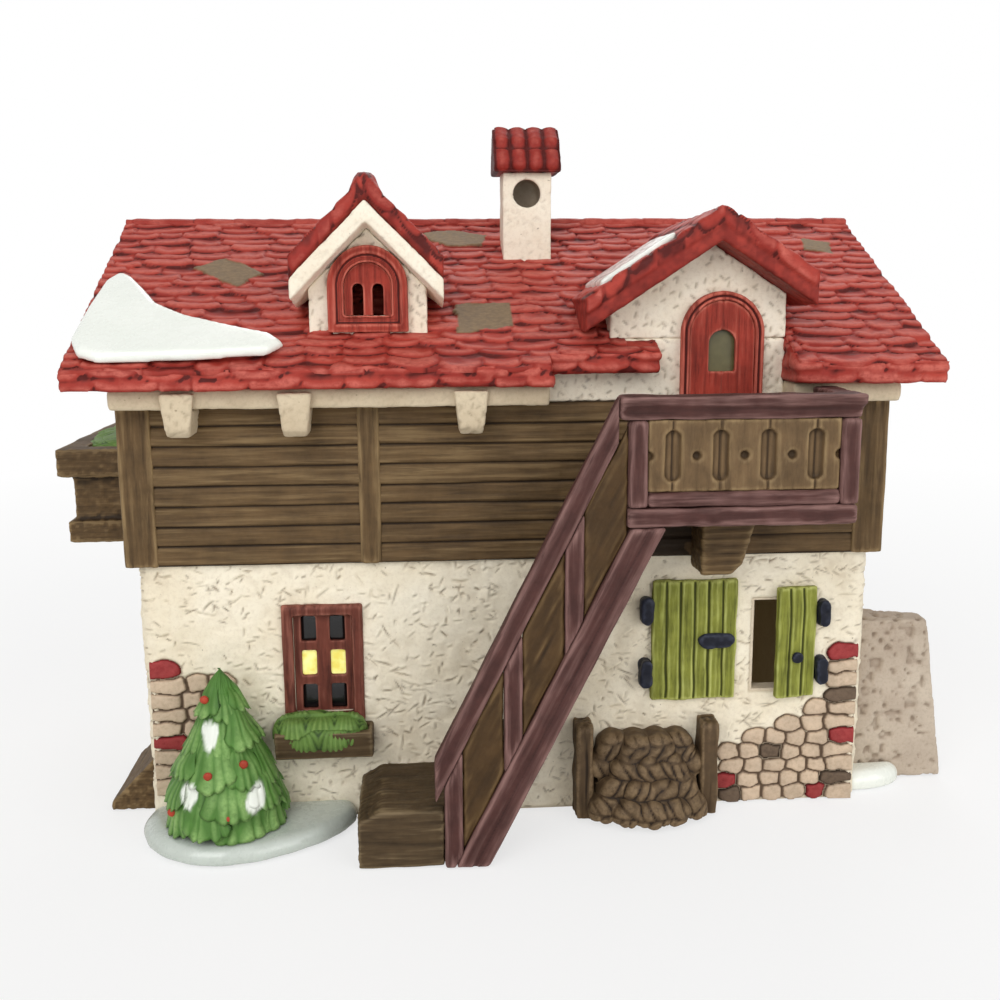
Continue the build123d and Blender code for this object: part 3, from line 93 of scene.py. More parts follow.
DOOR_APEX_FROM_LEFT = 29.5

# Noise
HASH_STEPS = (374761393, 668265263, 1440670441, 974711)
HASH_ROUNDS = ((13, 1274126177), (15, 668265263))
WORD, HALF_WORD = 0xFFFFFFFF, 0xFFFF
OCTAVE_SEED = 17


def lattice(x, y, z, seed):
    """A repeatable number from 0 to 1 at each whole-number place."""
    mixed = sum(v * step for v, step in zip((x, y, z, seed), HASH_STEPS)) & WORD
    for shift, factor in HASH_ROUNDS:
        mixed = ((mixed ^ (mixed >> shift)) * factor) & WORD
    return ((mixed ^ (mixed >> 16)) & HALF_WORD) / HALF_WORD


def noise(x, y, z, seed):
    """Smooth noise from -1 to 1 with features one unit across."""
    place = np.broadcast_arrays(*(np.asarray(v, float) for v in (x, y, z)))
    cells = [whole(v) for v in place]
    blend = [f * f * (3 - 2 * f) for f in (v - c for v, c in zip(place, cells))]
    total = np.zeros(place[0].shape)
    for corner in range(8):
        steps = [(corner >> axis) & 1 for axis in range(3)]
        weight = 1.0
        for share, step in zip(blend, steps):
            weight = weight * (share if step else 1 - share)
        total += weight * lattice(*[c + step for c, step in zip(cells, steps)], seed)
    return 2 * total - 1


def rough(points, size, seed, octaves):
    """Layered noise over points, with the largest features of the given size on each axis."""
    size = np.broadcast_to(np.asarray(size, float), 3)
    total, gain = 0.0, 1.0
    for octave in range(octaves):
        q = points / size * 2 ** octave
        total = total + gain * noise(q[..., 0], q[..., 1], q[..., 2], seed + OCTAVE_SEED * octave)
        gain *= 0.5
    return total / (2 - 2 * gain)


def ease(value, low, high):
    """Smooth step from 0 at low to 1 at high."""
    t = np.clip((value - low) / (high - low), 0, 1)
    return t * t * (3 - 2 * t)


def bell(value, width):
    """A bump of height 1 at zero."""
    return np.exp(-(value / width) ** 2)


def whole(value):
    """The whole number below each value."""
    return np.floor(value).astype(np.int64)


# Meshes
WELD = 1e-6
WEAR_ROUNDS = 10


def listed(faces):
    """Faces as plain lists."""
    return faces.tolist() if isinstance(faces, np.ndarray) else faces


def piece(name, points, faces, slot, paint, replaces=(), **values):
    """A new mesh piece that rides on the house, with one number per point for each named value."""
    mesh = bpy.data.meshes.new(name)
    mesh.from_pydata((points.reshape(-1, 3) * MM).tolist(), [], listed(faces))
    mesh.validate()
    obj = bpy.data.objects.new(name, mesh)
    scene.collection.objects.link(obj)
    finish_piece(obj, paint, "house", replaces, values)


def finish_piece(obj, paint, body, replaces, values):
    """Values, smooth shading, paint and frame links of a piece."""
    mesh = obj.data
    for label, numbers in values.items():
        layer = mesh.attributes.new(label, "FLOAT", "POINT")
        layer.data.foreach_set("value", np.ascontiguousarray(numbers, np.float32).ravel())
    mesh.shade_smooth()
    mesh.materials.clear()
    mesh.materials.append(paints[paint])
    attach(obj, body)
    if replaces:
        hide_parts(*replaces)


def relaxed(points, edges, rounds):
    """Points drawn halfway to the mean of their neighbours, round by round."""
    a, b = edges.T
    count = len(points)
    degree = np.maximum(np.bincount(a, minlength=count) + np.bincount(b, minlength=count), 1)
    for _ in range(rounds):
        mean = np.stack([(np.bincount(a, v[b], count) + np.bincount(b, v[a], count)) / degree
                         for v in points.T], axis=1)
        points = points + 0.5 * (mean - points)
    return points


def read(items, label, width, kind=float):
    """One property of all points or edges of a mesh, a row each."""
    numbers = np.empty(len(items) * width, kind)
    items.foreach_get(label, numbers)
    return numbers.reshape(-1, width)


def mesh_arrays(mesh):
    """Points in millimetres, normals and edges of a mesh."""
    points, normals = (read(mesh.vertices, label, 3) for label in ("co", "normal"))
    return points / MM, normals, read(mesh.edges, "vertices", 2, np.int64)


def move_points(mesh, points):
    """Puts a mesh's points at places in millimetres."""
    mesh.vertices.foreach_set("co", (points * MM).ravel())
    mesh.update()


def welded(node):
    """The facets of a node, joined at their corners."""
    mesh = bmesh.new()
    mesh.from_mesh(frame["nodes"][node].data)
    bmesh.ops.remove_doubles(mesh, verts=mesh.verts, dist=WELD)
    return mesh


def recast(node, paint, voxel, soften, shape=None, extra=None):
    """A node's solid as a soft-edged casting with relief, which stands for the node."""
    mesh = frame["nodes"][node].data.copy()
    facets = welded(node)
    facets.to_mesh(mesh)
    facets.free()
    obj = bpy.data.objects.new(node + "_cast", mesh)
    scene.collection.objects.link(obj)
    remesh = obj.modifiers.new("remesh", "REMESH")
    remesh.mode = "VOXEL"
    remesh.voxel_size = voxel * MM
    fine = bpy.data.meshes.new_from_object(obj.evaluated_get(bpy.context.evaluated_depsgraph_get()))
    obj.modifiers.clear()
    obj.data = fine
    points, _, edges = mesh_arrays(fine)
    move_points(fine, relaxed(points, edges, soften))
    flat, normals, edges = mesh_arrays(fine)
    points = flat
    if shape:
        points = flat + normals * shape(flat, normals)[:, None]
        move_points(fine, points)
        normals = mesh_arrays(fine)[1]
    values = {"wear": ((points - relaxed(points, edges, WEAR_ROUNDS)) * normals).sum(1)}
    if extra:
        values.update(extra(flat, normals))
    finish_piece(obj, paint, frame["nodes"][node]["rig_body"], (node,), values)


def grid_faces(rows, columns, keep=None, wrap=False):
    """Quads of a grid of points, counted row by row."""
    index = np.arange(rows * columns).reshape(rows, columns)
    right = np.roll(index, -1, axis=1)
    last = columns if wrap else columns - 1
    quads = np.stack([index[:-1, :last], right[:-1, :last], right[1:, :last], index[1:, :last]], axis=-1)
    return quads[keep] if keep is not None else quads.reshape(-1, 4)


def used_only(points, faces, values):
    """The sheet without the points that no face uses."""
    points = points.reshape(-1, 3)
    used = np.unique(faces)
    place = np.zeros(len(points), np.int64)
    place[used] = np.arange(len(used))
    return points[used], place[faces], {label: numbers.ravel()[used] for label, numbers in values.items()}


def close_rim(points, base, faces, **values):
    """Adds a skirt from each free edge of a sheet to the base under it, and drops unused points."""
    points, base = points.reshape(-1, 3), base.reshape(-1, 3)
    starts, stops = faces.ravel(), np.roll(faces, -1, axis=1).ravel()
    key = np.minimum(starts, stops) * len(points) + np.maximum(starts, stops)
    first, count = np.unique(key, return_index=True, return_counts=True)[1:]
    free = first[count == 1]
    a, b = starts[free], stops[free]
    rim = np.unique(np.concatenate([a, b]))
    lower = np.zeros(len(points), np.int64)
    lower[rim] = len(points) + np.arange(len(rim))
    skirt = np.stack([b, a, lower[a], lower[b]], axis=1)
    values = {label: np.concatenate([v.ravel(), v.ravel()[rim]]) for label, v in values.items()}
    return used_only(np.concatenate([points, base[rim]]), np.concatenate([faces, skirt]), values)


def sheet(name, points, base, faces, slot, paint, replaces=(), **values):
    """A piece that is a sheet, closed at its rim down to the base under it."""
    points, faces, values = close_rim(points, base, faces, **values)
    piece(name, points, faces, slot, paint, replaces, **values)


class Bunch:
    """Several closed shapes gathered into one mesh."""

    def __init__(self):
        self.points, self.faces, self.wear, self.count = [], [], [], 0

    def add(self, points, faces, wear):
        self.faces += [[index + self.count for index in face] for face in listed(faces)]
        self.points.append(points)
        self.wear.append(wear)
        self.count += len(points)

    def add_sheet(self, points, base, faces, wear):
        points, faces, values = close_rim(points, base, faces, wear=wear)
        self.add(points, faces, values["wear"])

    def build(self, name, slot, paint, replaces=(), extra=None):
        points = np.concatenate(self.points)
        values = extra(points) if extra else {}
        piece(name, points, self.faces, slot, paint, replaces, wear=np.concatenate(self.wear), **values)


# Materials
MATT = 0.2
BUMP_DEPTH = 0.3 * MM
UNTURNED, STAIR_TURN = (0, 0, 0), (0, -STAIR_ANGLE, 0)


def srgb(red, green, blue):
    """A screen colour, 0 to 255, as a linear one."""
    shares = (red / 255, green / 255, blue / 255)
    return tuple(v / 12.92 if v <= 0.04045 else ((v + 0.055) / 1.055) ** 2.4 for v in shares) + (1.0,)


def scaled(colour, factor):
    """A colour made darker or lighter."""
    return tuple(min(1.0, factor * v) for v in colour[:3]) + (1.0,)


SPECK_BROWN, INK_BROWN, SNOW_DAB = srgb(128, 106, 84), srgb(98, 77, 57), srgb(238, 242, 232)
# A faint painted glow on the inside walls, standing for the lamp's light
INNER_GLOW = srgb(130, 110, 70)


class Paint:
    """A node tree for one painted surface."""

    def __init__(self, name):
        self.material = bpy.data.materials.new(name)
        self.material.use_nodes = True
        self.tree = self.material.node_tree
        self.shader = self.tree.nodes["Principled BSDF"]
        self.place = self.tree.nodes.new("ShaderNodeTexCoord").outputs["Object"]

    def add(self, kind, **settings):
        node = self.tree.nodes.new("ShaderNode" + kind)
        for name, value in settings.items():
            setattr(node, name, value)
        return node

    def join(self, value, socket):
        """Links a socket to a socket, or sets a plain value on it."""
        if isinstance(value, bpy.types.NodeSocket):
            self.tree.links.new(value, socket)
        else:
            socket.default_value = value

    def fill(self, node, **inputs):
        """Joins values to a node's inputs, named with underscores for spaces."""
        for label, value in inputs.items():
            self.join(value, node.inputs[label.replace("_", " ")])
        return node

    def noise(self, size, detail, roughness=0.6, turn=UNTURNED, distortion=0.0):
        """Noise with features of the given size in millimetres along each axis, turned as wanted."""
        mapping = self.fill(self.add("Mapping", vector_type="TEXTURE"), Vector=self.place, Rotation=turn,
                            Scale=Vector(np.broadcast_to(np.asarray(size, float), 3) * MM))
        texture = self.fill(self.add("TexNoise"), Vector=mapping.outputs["Vector"], Scale=1.0, Detail=detail,
                            Roughness=roughness, Distortion=distortion)
        return texture.outputs[0]

    def value(self, label):
        """One of the numbers that the mesh carries."""
        return self.add("Attribute", attribute_name=label).outputs["Fac"]

    def span(self, value, low, high, to_low=0.0, to_high=1.0):
        """The value between two limits as a share of the new span."""
        node = self.fill(self.add("MapRange", clamp=True), Value=value, From_Min=low, From_Max=high, To_Min=to_low,
                         To_Max=to_high)
        return node.outputs["Result"]

    def sheen(self, texture, limits):
        """Roughness that follows a texture between two limits."""
        return self.span(texture, 0.3, 0.7, *limits)

    def product(self, a, b):
        node = self.add("Math", operation="MULTIPLY")
        self.join(a, node.inputs[0])
        self.join(b, node.inputs[1])
        return node.outputs[0]

    def mix(self, factor, a, b):
        node = self.add("Mix", data_type="RGBA")
        for index, value in ((0, factor), (6, a), (7, b)):
            self.join(value, node.inputs[index])
        return node.outputs[2]

    def coats(self, colour, *layers):
        """Colours laid over one; a layer is a value, where on it the coat starts and is full, strength, colour."""
        for value, start, full, strength, top in layers:
            colour = self.mix(self.span(value, start, full, 0.0, strength), colour, top)
        return colour

    def finish(self, colour, roughness, height, bump, **plain):
        """Joins the colour, roughness and relief to the shader and sets its plain values."""
        relief = self.fill(self.add("Bump"), Strength=bump, Distance=BUMP_DEPTH, Height=height)
        self.fill(self.shader, Base_Color=colour, Roughness=roughness, Normal=relief.outputs["Normal"], **plain)
        return self.material


def painted(name, base, dark, light, grain=None, turn=UNTURNED, deep=0.16, high=0.12, wash=0.7, streak=0.4,
            gloss=(0.5, 0.75)):
    """Matt paint on fired clay: dark wash in the recesses, dry-brushed light paint on the ridges."""
    paint = Paint(name)
    shade = scaled(base, 0.64)
    wear, cloud, fine = paint.value("wear"), paint.noise(6.0, 5.0), paint.noise(1.1, 6.0, 0.7)
    colour = paint.coats(shade, (cloud, 0.34, 0.66, 1.0, scaled(base, 1.25)))
    colour = paint.mix(0.4, colour, base)
    if grain:
        lines = paint.noise(grain, 6.0, 0.65, turn, 0.3)
        colour = paint.coats(colour, (lines, 0.5, 0.28, wash, dark), (lines, 0.54, 0.76, streak, light))
        brushed = paint.span(lines, 0.36, 0.62, 0.15, 1.0)
    else:
        lines = fine
        colour = paint.coats(colour, (fine, 0.52, 0.26, 0.5, shade))
        brushed = paint.span(fine, 0.36, 0.62, 0.25, 1.0)
    colour = paint.coats(colour, (wear, 0.0, -deep, 0.9, dark))
    ridge = paint.product(paint.span(wear, 0.2 * high, high, 0.0, 0.85), brushed)
    colour = paint.mix(ridge, colour, light)
    return paint.finish(colour, paint.sheen(fine, gloss), lines, 0.25, Specular_IOR_Level=MATT)


def stucco_paint(name, base, dark, light, **plain):
    """Cream slip with brown wash left in the scratches and a few dark specks."""
    paint = Paint(name)
    cloud, fine, specks = paint.noise(16.0, 5.0), paint.noise(0.9, 6.0, 0.7), paint.noise(1.3, 2.0, 0.5)
    colour = paint.coats(base, (cloud, 0.36, 0.66, 1.0, light), (fine, 0.52, 0.25, 0.3, dark),
                         (paint.value("wear"), -0.04, -0.3, 0.5, dark), (specks, 0.73, 0.78, 0.6, SPECK_BROWN))
    ink = paint.product(paint.value("ink"), paint.span(cloud, 0.3, 0.7, 0.55, 1.0))
    colour = paint.mix(ink, colour, INK_BROWN)
    return paint.finish(colour, paint.sheen(fine, (0.62, 0.85)), fine, 0.2, Specular_IOR_Level=MATT, **plain)


def roof_paint(name, dull, bright, clouded, streaked, joints_and_shade, crown_highlight, bare_dark, bare_light):
    """Brick red over the shingles, with a painted highlight on the crowns, dark joints and painted shade at the
    butts, and bare grey-brown patches.
    """
    paint = Paint(name)
    wear, tone, bare = paint.value("wear"), paint.value("tone"), paint.value("bare")
    streaks, cloud = paint.noise((1.4, 1.0, 1.0), 6.0, 0.7), paint.noise(24.0, 4.0)
    # The last coat is dark where the values are low: the joints, and painted shade at the butts
    colour = paint.coats(dull, (tone, 0.0, 1.0, 1.0, bright), (cloud, 0.4, 0.66, 0.5, clouded),
                         (streaks, 0.5, 0.28, 0.4, streaked), (wear, -0.05, -0.7, 0.92, joints_and_shade))
    # Painted highlight: the crowns are painted lighter where the values are high
    lit = paint.product(paint.span(wear, 0.1, 0.8, 0.0, 0.7), paint.span(streaks, 0.34, 0.6, 0.3, 1.0))
    colour = paint.mix(lit, colour, crown_highlight)
    colour = paint.mix(bare, colour, paint.coats(bare_dark, (streaks, 0.35, 0.65, 1.0, bare_light)))
    return paint.finish(colour, paint.sheen(streaks, (0.45, 0.7)), streaks, 0.25, Specular_IOR_Level=MATT)


def snow_paint(name, base, light, hollow):
    """Gloss glaze with a cool tint in the hollows."""
    paint = Paint(name)
    cloud, fine = paint.noise(13.0, 3.0), paint.noise(2.2, 5.0)
    colour = paint.coats(base, (cloud, 0.38, 0.64, 1.0, light), (paint.value("wear"), 0.0, -0.3, 0.6, hollow))
    return paint.finish(colour, paint.sheen(fine, (0.2, 0.36)), fine, 0.05, Coat_Weight=0.35, Coat_Roughness=0.12)


def leaf_paint(name, base, dark, light):
    """Green with light brushed ridges and tips, and dabs of snow."""
    paint = Paint(name)
    wear, fine, cloud = paint.value("wear"), paint.noise(1.0, 5.0, 0.65), paint.noise(7.0, 3.0)
    colour = paint.coats(scaled(base, 0.86), (cloud, 0.36, 0.64, 1.0, scaled(base, 1.1)))
    tips = paint.product(paint.span(wear, 0.5, 1.0, 0.0, 0.9), paint.span(fine, 0.34, 0.6, 0.4, 1.0))
    colour = paint.coats(paint.mix(tips, colour, light), (wear, 0.34, 0.0, 0.85, dark))
    colour = paint.mix(paint.value("dab"), colour, SNOW_DAB)
    return paint.finish(colour, paint.sheen(fine, (0.4, 0.6)), fine, 0.2, Specular_IOR_Level=MATT)


def glow_paint(name, deep, pale):
    """Yellow glass that glows with painted light, standing for the lamp behind it."""
    paint = Paint(name)
    cloud = paint.noise(3.0, 3.0)
    colour = paint.coats(deep, (cloud, 0.35, 0.65, 1.0, pale))
    return paint.finish(colour, 0.3, cloud, 0.1, Emission_Color=colour, Emission_Strength=0.3)


def stock_paint(name, base, shade, gloss, **plain):
    """Moulded or drawn stock with a faint cloud and fine scuffs."""
    paint = Paint(name)
    cloud, fine = paint.noise(7.0, 4.0), paint.noise((0.5, 4.0, 0.5), 5.0)
    colour = paint.coats(base, (cloud, 0.35, 0.65, 1.0, shade))
    return paint.finish(colour, paint.sheen(fine, gloss), fine, 0.05, **plain)


# The paints: kind, name, screen colours in the order that the kind takes them, and what else it is told
PLANK_FLAT, GRAIN_X, GRAIN_Z = (18.0, 18.0, 1.0), (14.0, 1.2, 1.2), (1.2, 1.2, 14.0)
TIMBER = ((95, 74, 48), (38, 27, 16), (146, 122, 86))
MAUVE = ((75, 46, 42), (34, 19, 17), (144, 110, 104))
BOARD = ((106, 84, 58), (54, 40, 25), (152, 128, 92))
STAIR = ((74, 54, 31), (36, 25, 14), (112, 89, 58))
FAINT = dict(wash=0.3, streak=0.16)
CRISP = dict(grain=GRAIN_Z, deep=0.1, high=0.1)
METAL = dict(Metallic=1.0)
paints = {}
for kind, name, colours, settings in (
    (painted, "timber_flat", TIMBER, dict(grain=PLANK_FLAT, wash=0.6)),
    (painted, "timber_z", TIMBER, dict(grain=GRAIN_Z, wash=0.6)),
    (painted, "log_brown", ((88, 70, 50), (36, 26, 17), (134, 112, 84)), dict(deep=0.1, high=0.14)),
    (painted, "block_brown", ((78, 62, 42), (36, 27, 17), (130, 112, 84)), dict(grain=PLANK_FLAT)),
    (painted, "frame_red", ((106, 55, 43), (40, 17, 13), (164, 106, 90)), CRISP),
    (painted, "door_red", ((154, 56, 43), (56, 13, 10), (206, 116, 98)),
     dict(grain=GRAIN_Z, deep=0.09, high=0.09, wash=0.8)),
    (painted, "mauve_x", MAUVE, dict(grain=GRAIN_X, **FAINT)),
    (painted, "mauve_z", MAUVE, dict(grain=GRAIN_Z, **FAINT)),
    (painted, "mauve_stair", MAUVE, dict(grain=GRAIN_X, turn=STAIR_TURN, **FAINT)),
    (painted, "board_z", BOARD, dict(grain=(1.6, 1.6, 9.0), wash=0.45, streak=0.25)),
    (painted, "board_x", STAIR, dict(grain=(10.0, 1.4, 1.4), wash=0.5, streak=0.25)),
    (painted, "board_stair", STAIR, dict(grain=(9.0, 2.4, 2.4), turn=STAIR_TURN, wash=0.3, streak=0.3)),
    (painted, "shutter_green", ((132, 136, 56), (48, 52, 15), (194, 198, 116)), CRISP),
    (painted, "iron", ((25, 27, 38), (10, 11, 16), (60, 64, 80)), dict(gloss=(0.35, 0.55))),
    (painted, "pale_stone", ((198, 174, 148), (78, 59, 44), (222, 203, 180)), dict(deep=0.2)),
    (painted, "red_stone", ((142, 44, 46), (70, 22, 24), (180, 88, 84)), dict(deep=0.22)),
    (painted, "brown_stone", ((92, 76, 62), (46, 36, 29), (134, 114, 95)), dict(deep=0.22)),
    (painted, "berry_red", ((172, 66, 46), (110, 30, 22), (204, 108, 88)), dict(gloss=(0.3, 0.5))),
    (stucco_paint, "stucco", ((235, 223, 198), (180, 160, 132), (245, 236, 215)), {}),
    (stucco_paint, "cream", ((238, 226, 204), (180, 158, 128), (247, 239, 221)), {}),
    (stucco_paint, "eave_cream", ((194, 176, 148), (138, 117, 90), (212, 196, 168)), {}),
    # The inside walls glow faintly: painted light that stands for the lamp inside
    (stucco_paint, "inner_cream", ((206, 192, 170), (150, 128, 104), (222, 210, 190)),
     dict(Emission_Color=INNER_GLOW, Emission_Strength=0.07)),
    (stucco_paint, "yard_beige", ((178, 162, 145), (112, 92, 74), (200, 186, 168)), {}),
    # roof_red: its fifth colour is the dark of the joints and of painted shade, its sixth a painted highlight on
    # the crowns
    (roof_paint, "roof_red", ((140, 44, 36), (172, 64, 52), (150, 46, 38), (116, 30, 24), (70, 16, 13),
                              (206, 112, 98), (112, 92, 68), (138, 117, 90)), {}),
    (snow_paint, "snow_glaze", ((236, 240, 231), (242, 245, 237), (200, 210, 199)), {}),
    (snow_paint, "pad_glaze", ((192, 200, 191), (201, 208, 200), (164, 174, 166)), {}),
    (leaf_paint, "tree_green", ((80, 122, 54), (26, 54, 21), (150, 186, 112)), {}),
    (leaf_paint, "leaf_green", ((98, 128, 62), (38, 60, 27), (152, 178, 104)), {}),
    (glow_paint, "lit_pane", ((226, 212, 96), (248, 244, 158)), {}),
    # dark_glass and olive_glass paint the dim inside onto plates behind the openings: painted shade
    (stock_paint, "dark_glass", ((16, 15, 17), (26, 24, 24)), dict(gloss=(0.12, 0.25))),
    (stock_paint, "olive_glass", ((104, 98, 62), (86, 80, 50)), dict(gloss=(0.3, 0.45))),
    (stock_paint, "white_plastic", ((232, 230, 222), (216, 213, 203)), dict(gloss=(0.3, 0.45))),
    (stock_paint, "spring_steel", ((176, 178, 180), (150, 152, 156)), dict(gloss=(0.22, 0.4), **METAL)),
    (stock_paint, "brass", ((196, 160, 92), (170, 132, 70)), dict(gloss=(0.2, 0.38), **METAL)),
    (stock_paint, "bulb_glass", ((244, 240, 228), (236, 230, 214)),
     dict(gloss=(0.06, 0.14), Transmission_Weight=0.75, IOR=1.46)),
):
    paints[name] = kind(name, *(srgb(*colour) for colour in colours), **settings)

# Fieldstones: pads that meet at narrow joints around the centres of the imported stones
STONE_KINDS = (("pale_stones", "pale_stone"), ("red_stones", "red_stone"), ("brown_stones", "brown_stone"))
STONE_JITTER, STONE_WOBBLE, WOBBLE_SIZE = (1.0, 0.7), 0.4, 2.0
STONE_STRETCH, STONE_REACH, STONE_MARGIN, STONE_GRID = 0.72, 2.6, 3.6, 0.26
CORNER_STONES, CORNER_DRAW = 5.0, 0.6
STONE_EDGE, STONE_RISE, STONE_JOINT, STONE_TOP, STONE_FOOT = 0.4, 0.5, 0.14, 1.2, 0.2


def stone_centres(node):
    """Where each stone of a node is on the wall."""
    mesh = welded(node)
    centres = []
    loose = set(mesh.verts)
    while loose:
        stone, edge = set(), [min(loose, key=lambda v: v.index)]
        while edge:
            vertex = edge.pop()
            if vertex not in stone:
                stone.add(vertex)
                edge += [e.other_vert(vertex) for e in vertex.link_edges]
        loose -= stone
        centre = sum((v.co for v in sorted(stone, key=lambda v: v.index)), Vector()) / len(stone) / MM
        centres.append((centre.x, centre.z))
    mesh.free()
    return centres


centres_of = [stone_centres(node) for node, _ in STONE_KINDS]
seeds = np.array([place for centres in centres_of for place in centres])
seed_kind = np.repeat(range(len(centres_of)), [len(centres) for centres in centres_of])
numbers = np.arange(len(seeds))
seeds = seeds + (np.stack([lattice(numbers, 3, 1, 5), lattice(numbers, 7, 2, 9)], 1) - 0.5) * STONE_JITTER


def nearest_stones(x, z):
    """Nearest stone, how far its joint is, and how far the last stone's rim is."""
    px = x + STONE_WOBBLE * noise(x / WOBBLE_SIZE, 0, z / WOBBLE_SIZE, 31)
    pz = z + STONE_WOBBLE * noise(x / WOBBLE_SIZE, 5, z / WOBBLE_SIZE, 32)
    over = np.clip(np.abs(px) - HOUSE_X + CORNER_STONES, 0, None)
    px = px - CORNER_DRAW * over * np.sign(px)
    gaps = np.hypot((px[..., None] - seeds[:, 0]) * STONE_STRETCH, pz[..., None] - seeds[:, 1])
    order = np.argsort(gaps, axis=-1)[..., :2]
    near = np.take_along_axis(gaps, order, -1)
    return order[..., 0], (near[..., 1] - near[..., 0]) / 2, STONE_REACH - near[..., 0]


def stone_patch(side):
    """Grid of stone faces on one side of the front: faces, base, joint distance, kind of each place."""
    mine = seeds[np.sign(seeds[:, 0]) == side]
    low, high = mine.min(0) - STONE_MARGIN, mine.max(0) + STONE_MARGIN
    x, z = np.meshgrid(np.arange(max(low[0], 0.4 - HOUSE_X), min(high[0], HOUSE_X - 0.1), STONE_GRID),
                       np.arange(max(low[1], 0.0), high[1], STONE_GRID))
    index, joint, rim = nearest_stones(x, z)
    mound = np.minimum(joint, rim)
    height = STONE_EDGE + STONE_RISE * np.sqrt(np.clip((mound - 0.1) / 0.6, 0, 1))
    height = height + 0.3 * (lattice(index, 1, 1, 3) - 0.5)
    height += 0.1 * noise(x / 1.3, 0, z / 1.3, 41)
    height = np.where(mound < 0.2, STONE_JOINT, np.clip(height, STONE_JOINT, STONE_TOP))
    face, base = (np.stack([x, y, z], -1) for y in (-HOUSE_Y - height, np.full(x.shape, STONE_FOOT - HOUSE_Y)))
    return face, base, mound, np.where(rim > 0, seed_kind[index], -1)


stone_sides = [stone_patch(side) for side in (-1, 1)]
for kind, (node, paint) in enumerate(STONE_KINDS):
    laid = Bunch()
    for face, base, mound, kinds in stone_sides:
        inside = kinds == kind
        keep = inside[:-1, :-1] & inside[1:, :-1] & inside[:-1, 1:] & inside[1:, 1:]
        if keep.any():
            wear = 0.22 * (ease(mound, 0.12, 0.4) * 1.3 - 1.0)
            laid.add_sheet(face, base, grid_faces(*mound.shape, keep), wear)
    laid.build(node + "_laid", slot_of[node], paint, (node,))


# Stucco and planks, as skins around the house
def perimeter(half_x, half_y, radius, front_step, step):
    """Columns around a rounded rectangle from the front left corner: distance, place, outward direction."""
    columns = []
    flat_x, flat_y = half_x - radius, half_y - radius
    for start, stop, pitch, facing in (((-flat_x, -half_y), (flat_x, -half_y), front_step, -90),
                                       ((half_x, -flat_y), (half_x, flat_y), step, 0),
                                       ((flat_x, half_y), (-flat_x, half_y), step, 90),
                                       ((-half_x, flat_y), (-half_x, -flat_y), step, 180)):
        start, stop = np.array(start), np.array(stop)
        turned = np.radians(facing + np.linspace(0, 90, 6)[:-1])
        out, *corner = np.stack([np.cos(turned), np.sin(turned)], 1)
        for t in np.linspace(0, 1, int(np.hypot(*(stop - start)) / pitch) + 1):
            columns.append((*(start + t * (stop - start)), *out))
        centre = stop - radius * out
        columns += [(*(centre + radius * way), *way) for way in corner]
    columns = np.array(columns)
    steps = np.hypot(*(columns[1:, :2] - columns[:-1, :2]).T)
    return np.concatenate([[0], np.cumsum(steps)]), columns[:, :2], columns[:, 2:]


def wrap_points(place, out, z, offset=0.0):
    """Points of a wall grid, one row per height."""
    offset = np.broadcast_to(offset, (len(z), len(place)))
    x, y = (place[:, axis] + offset * out[:, axis] for axis in (0, 1))
    return np.stack([x, y, np.broadcast_to(z[:, None], x.shape)], -1)


def scratches(along, z, count, span, seed):
    """Depth, raised lip and ink of short scratches cut at all angles into a wall grid."""
    depth, lip, ink = np.zeros((3, len(z), len(along)))
    random = np.random.default_rng(seed)
    for _ in range(count):
        u0, z0 = random.uniform(0, along[-1]), random.uniform(*span)
        angle = random.normal(0, 0.5) if random.uniform() < 0.6 else random.uniform(0, math.pi)
        length = random.uniform(1.0, 2.6) if random.uniform() < 0.85 else random.uniform(2.6, 5.5)
        width = random.uniform(0.15, 0.25)
        cut = random.uniform(0.2, 0.5)
        bend = random.uniform(-0.08, 0.08)
        dark = random.uniform(0.15, 1.0)
        reach = np.array([-0.6 * length - 1, 0.6 * length + 1])
        rows, lanes = slice(*np.searchsorted(z, z0 + reach)), slice(*np.searchsorted(along, u0 + reach))
        du, dz = along[None, lanes] - u0, z[rows, None] - z0
        run = du * math.cos(angle) + dz * math.sin(angle)
        side = -du * math.sin(angle) + dz * math.cos(angle) + bend * run ** 2
        ends = np.clip(1 - np.abs(2 * run / length) ** 3, 0, 1)
        mark = bell(side, width) * ends
        edge = bell(side - 2.2 * width, 1.5 * width) * ends
        for field, amount in ((depth, cut * mark), (lip, 0.22 * edge), (ink, dark * mark)):
            field[rows, lanes] = np.maximum(field[rows, lanes], amount)
    return depth, lip, ink


def box_gap(x, z, low, high):
    """Distance outside a rectangle in the wall, less than zero inside it."""
    return np.maximum(np.maximum(low[0] - x, x - high[0]), np.maximum(low[1] - z, z - high[1]))


STUCCO_THICKNESS, STUCCO_ROWS, STUCCO_FRONT_STEP, STUCCO_SIDE_STEP, SCRATCHES = 0.62, 188, 0.34, 0.92, 5200
CASING_LAP, TUCK = 1.4, 0.25
FACING = 0.99


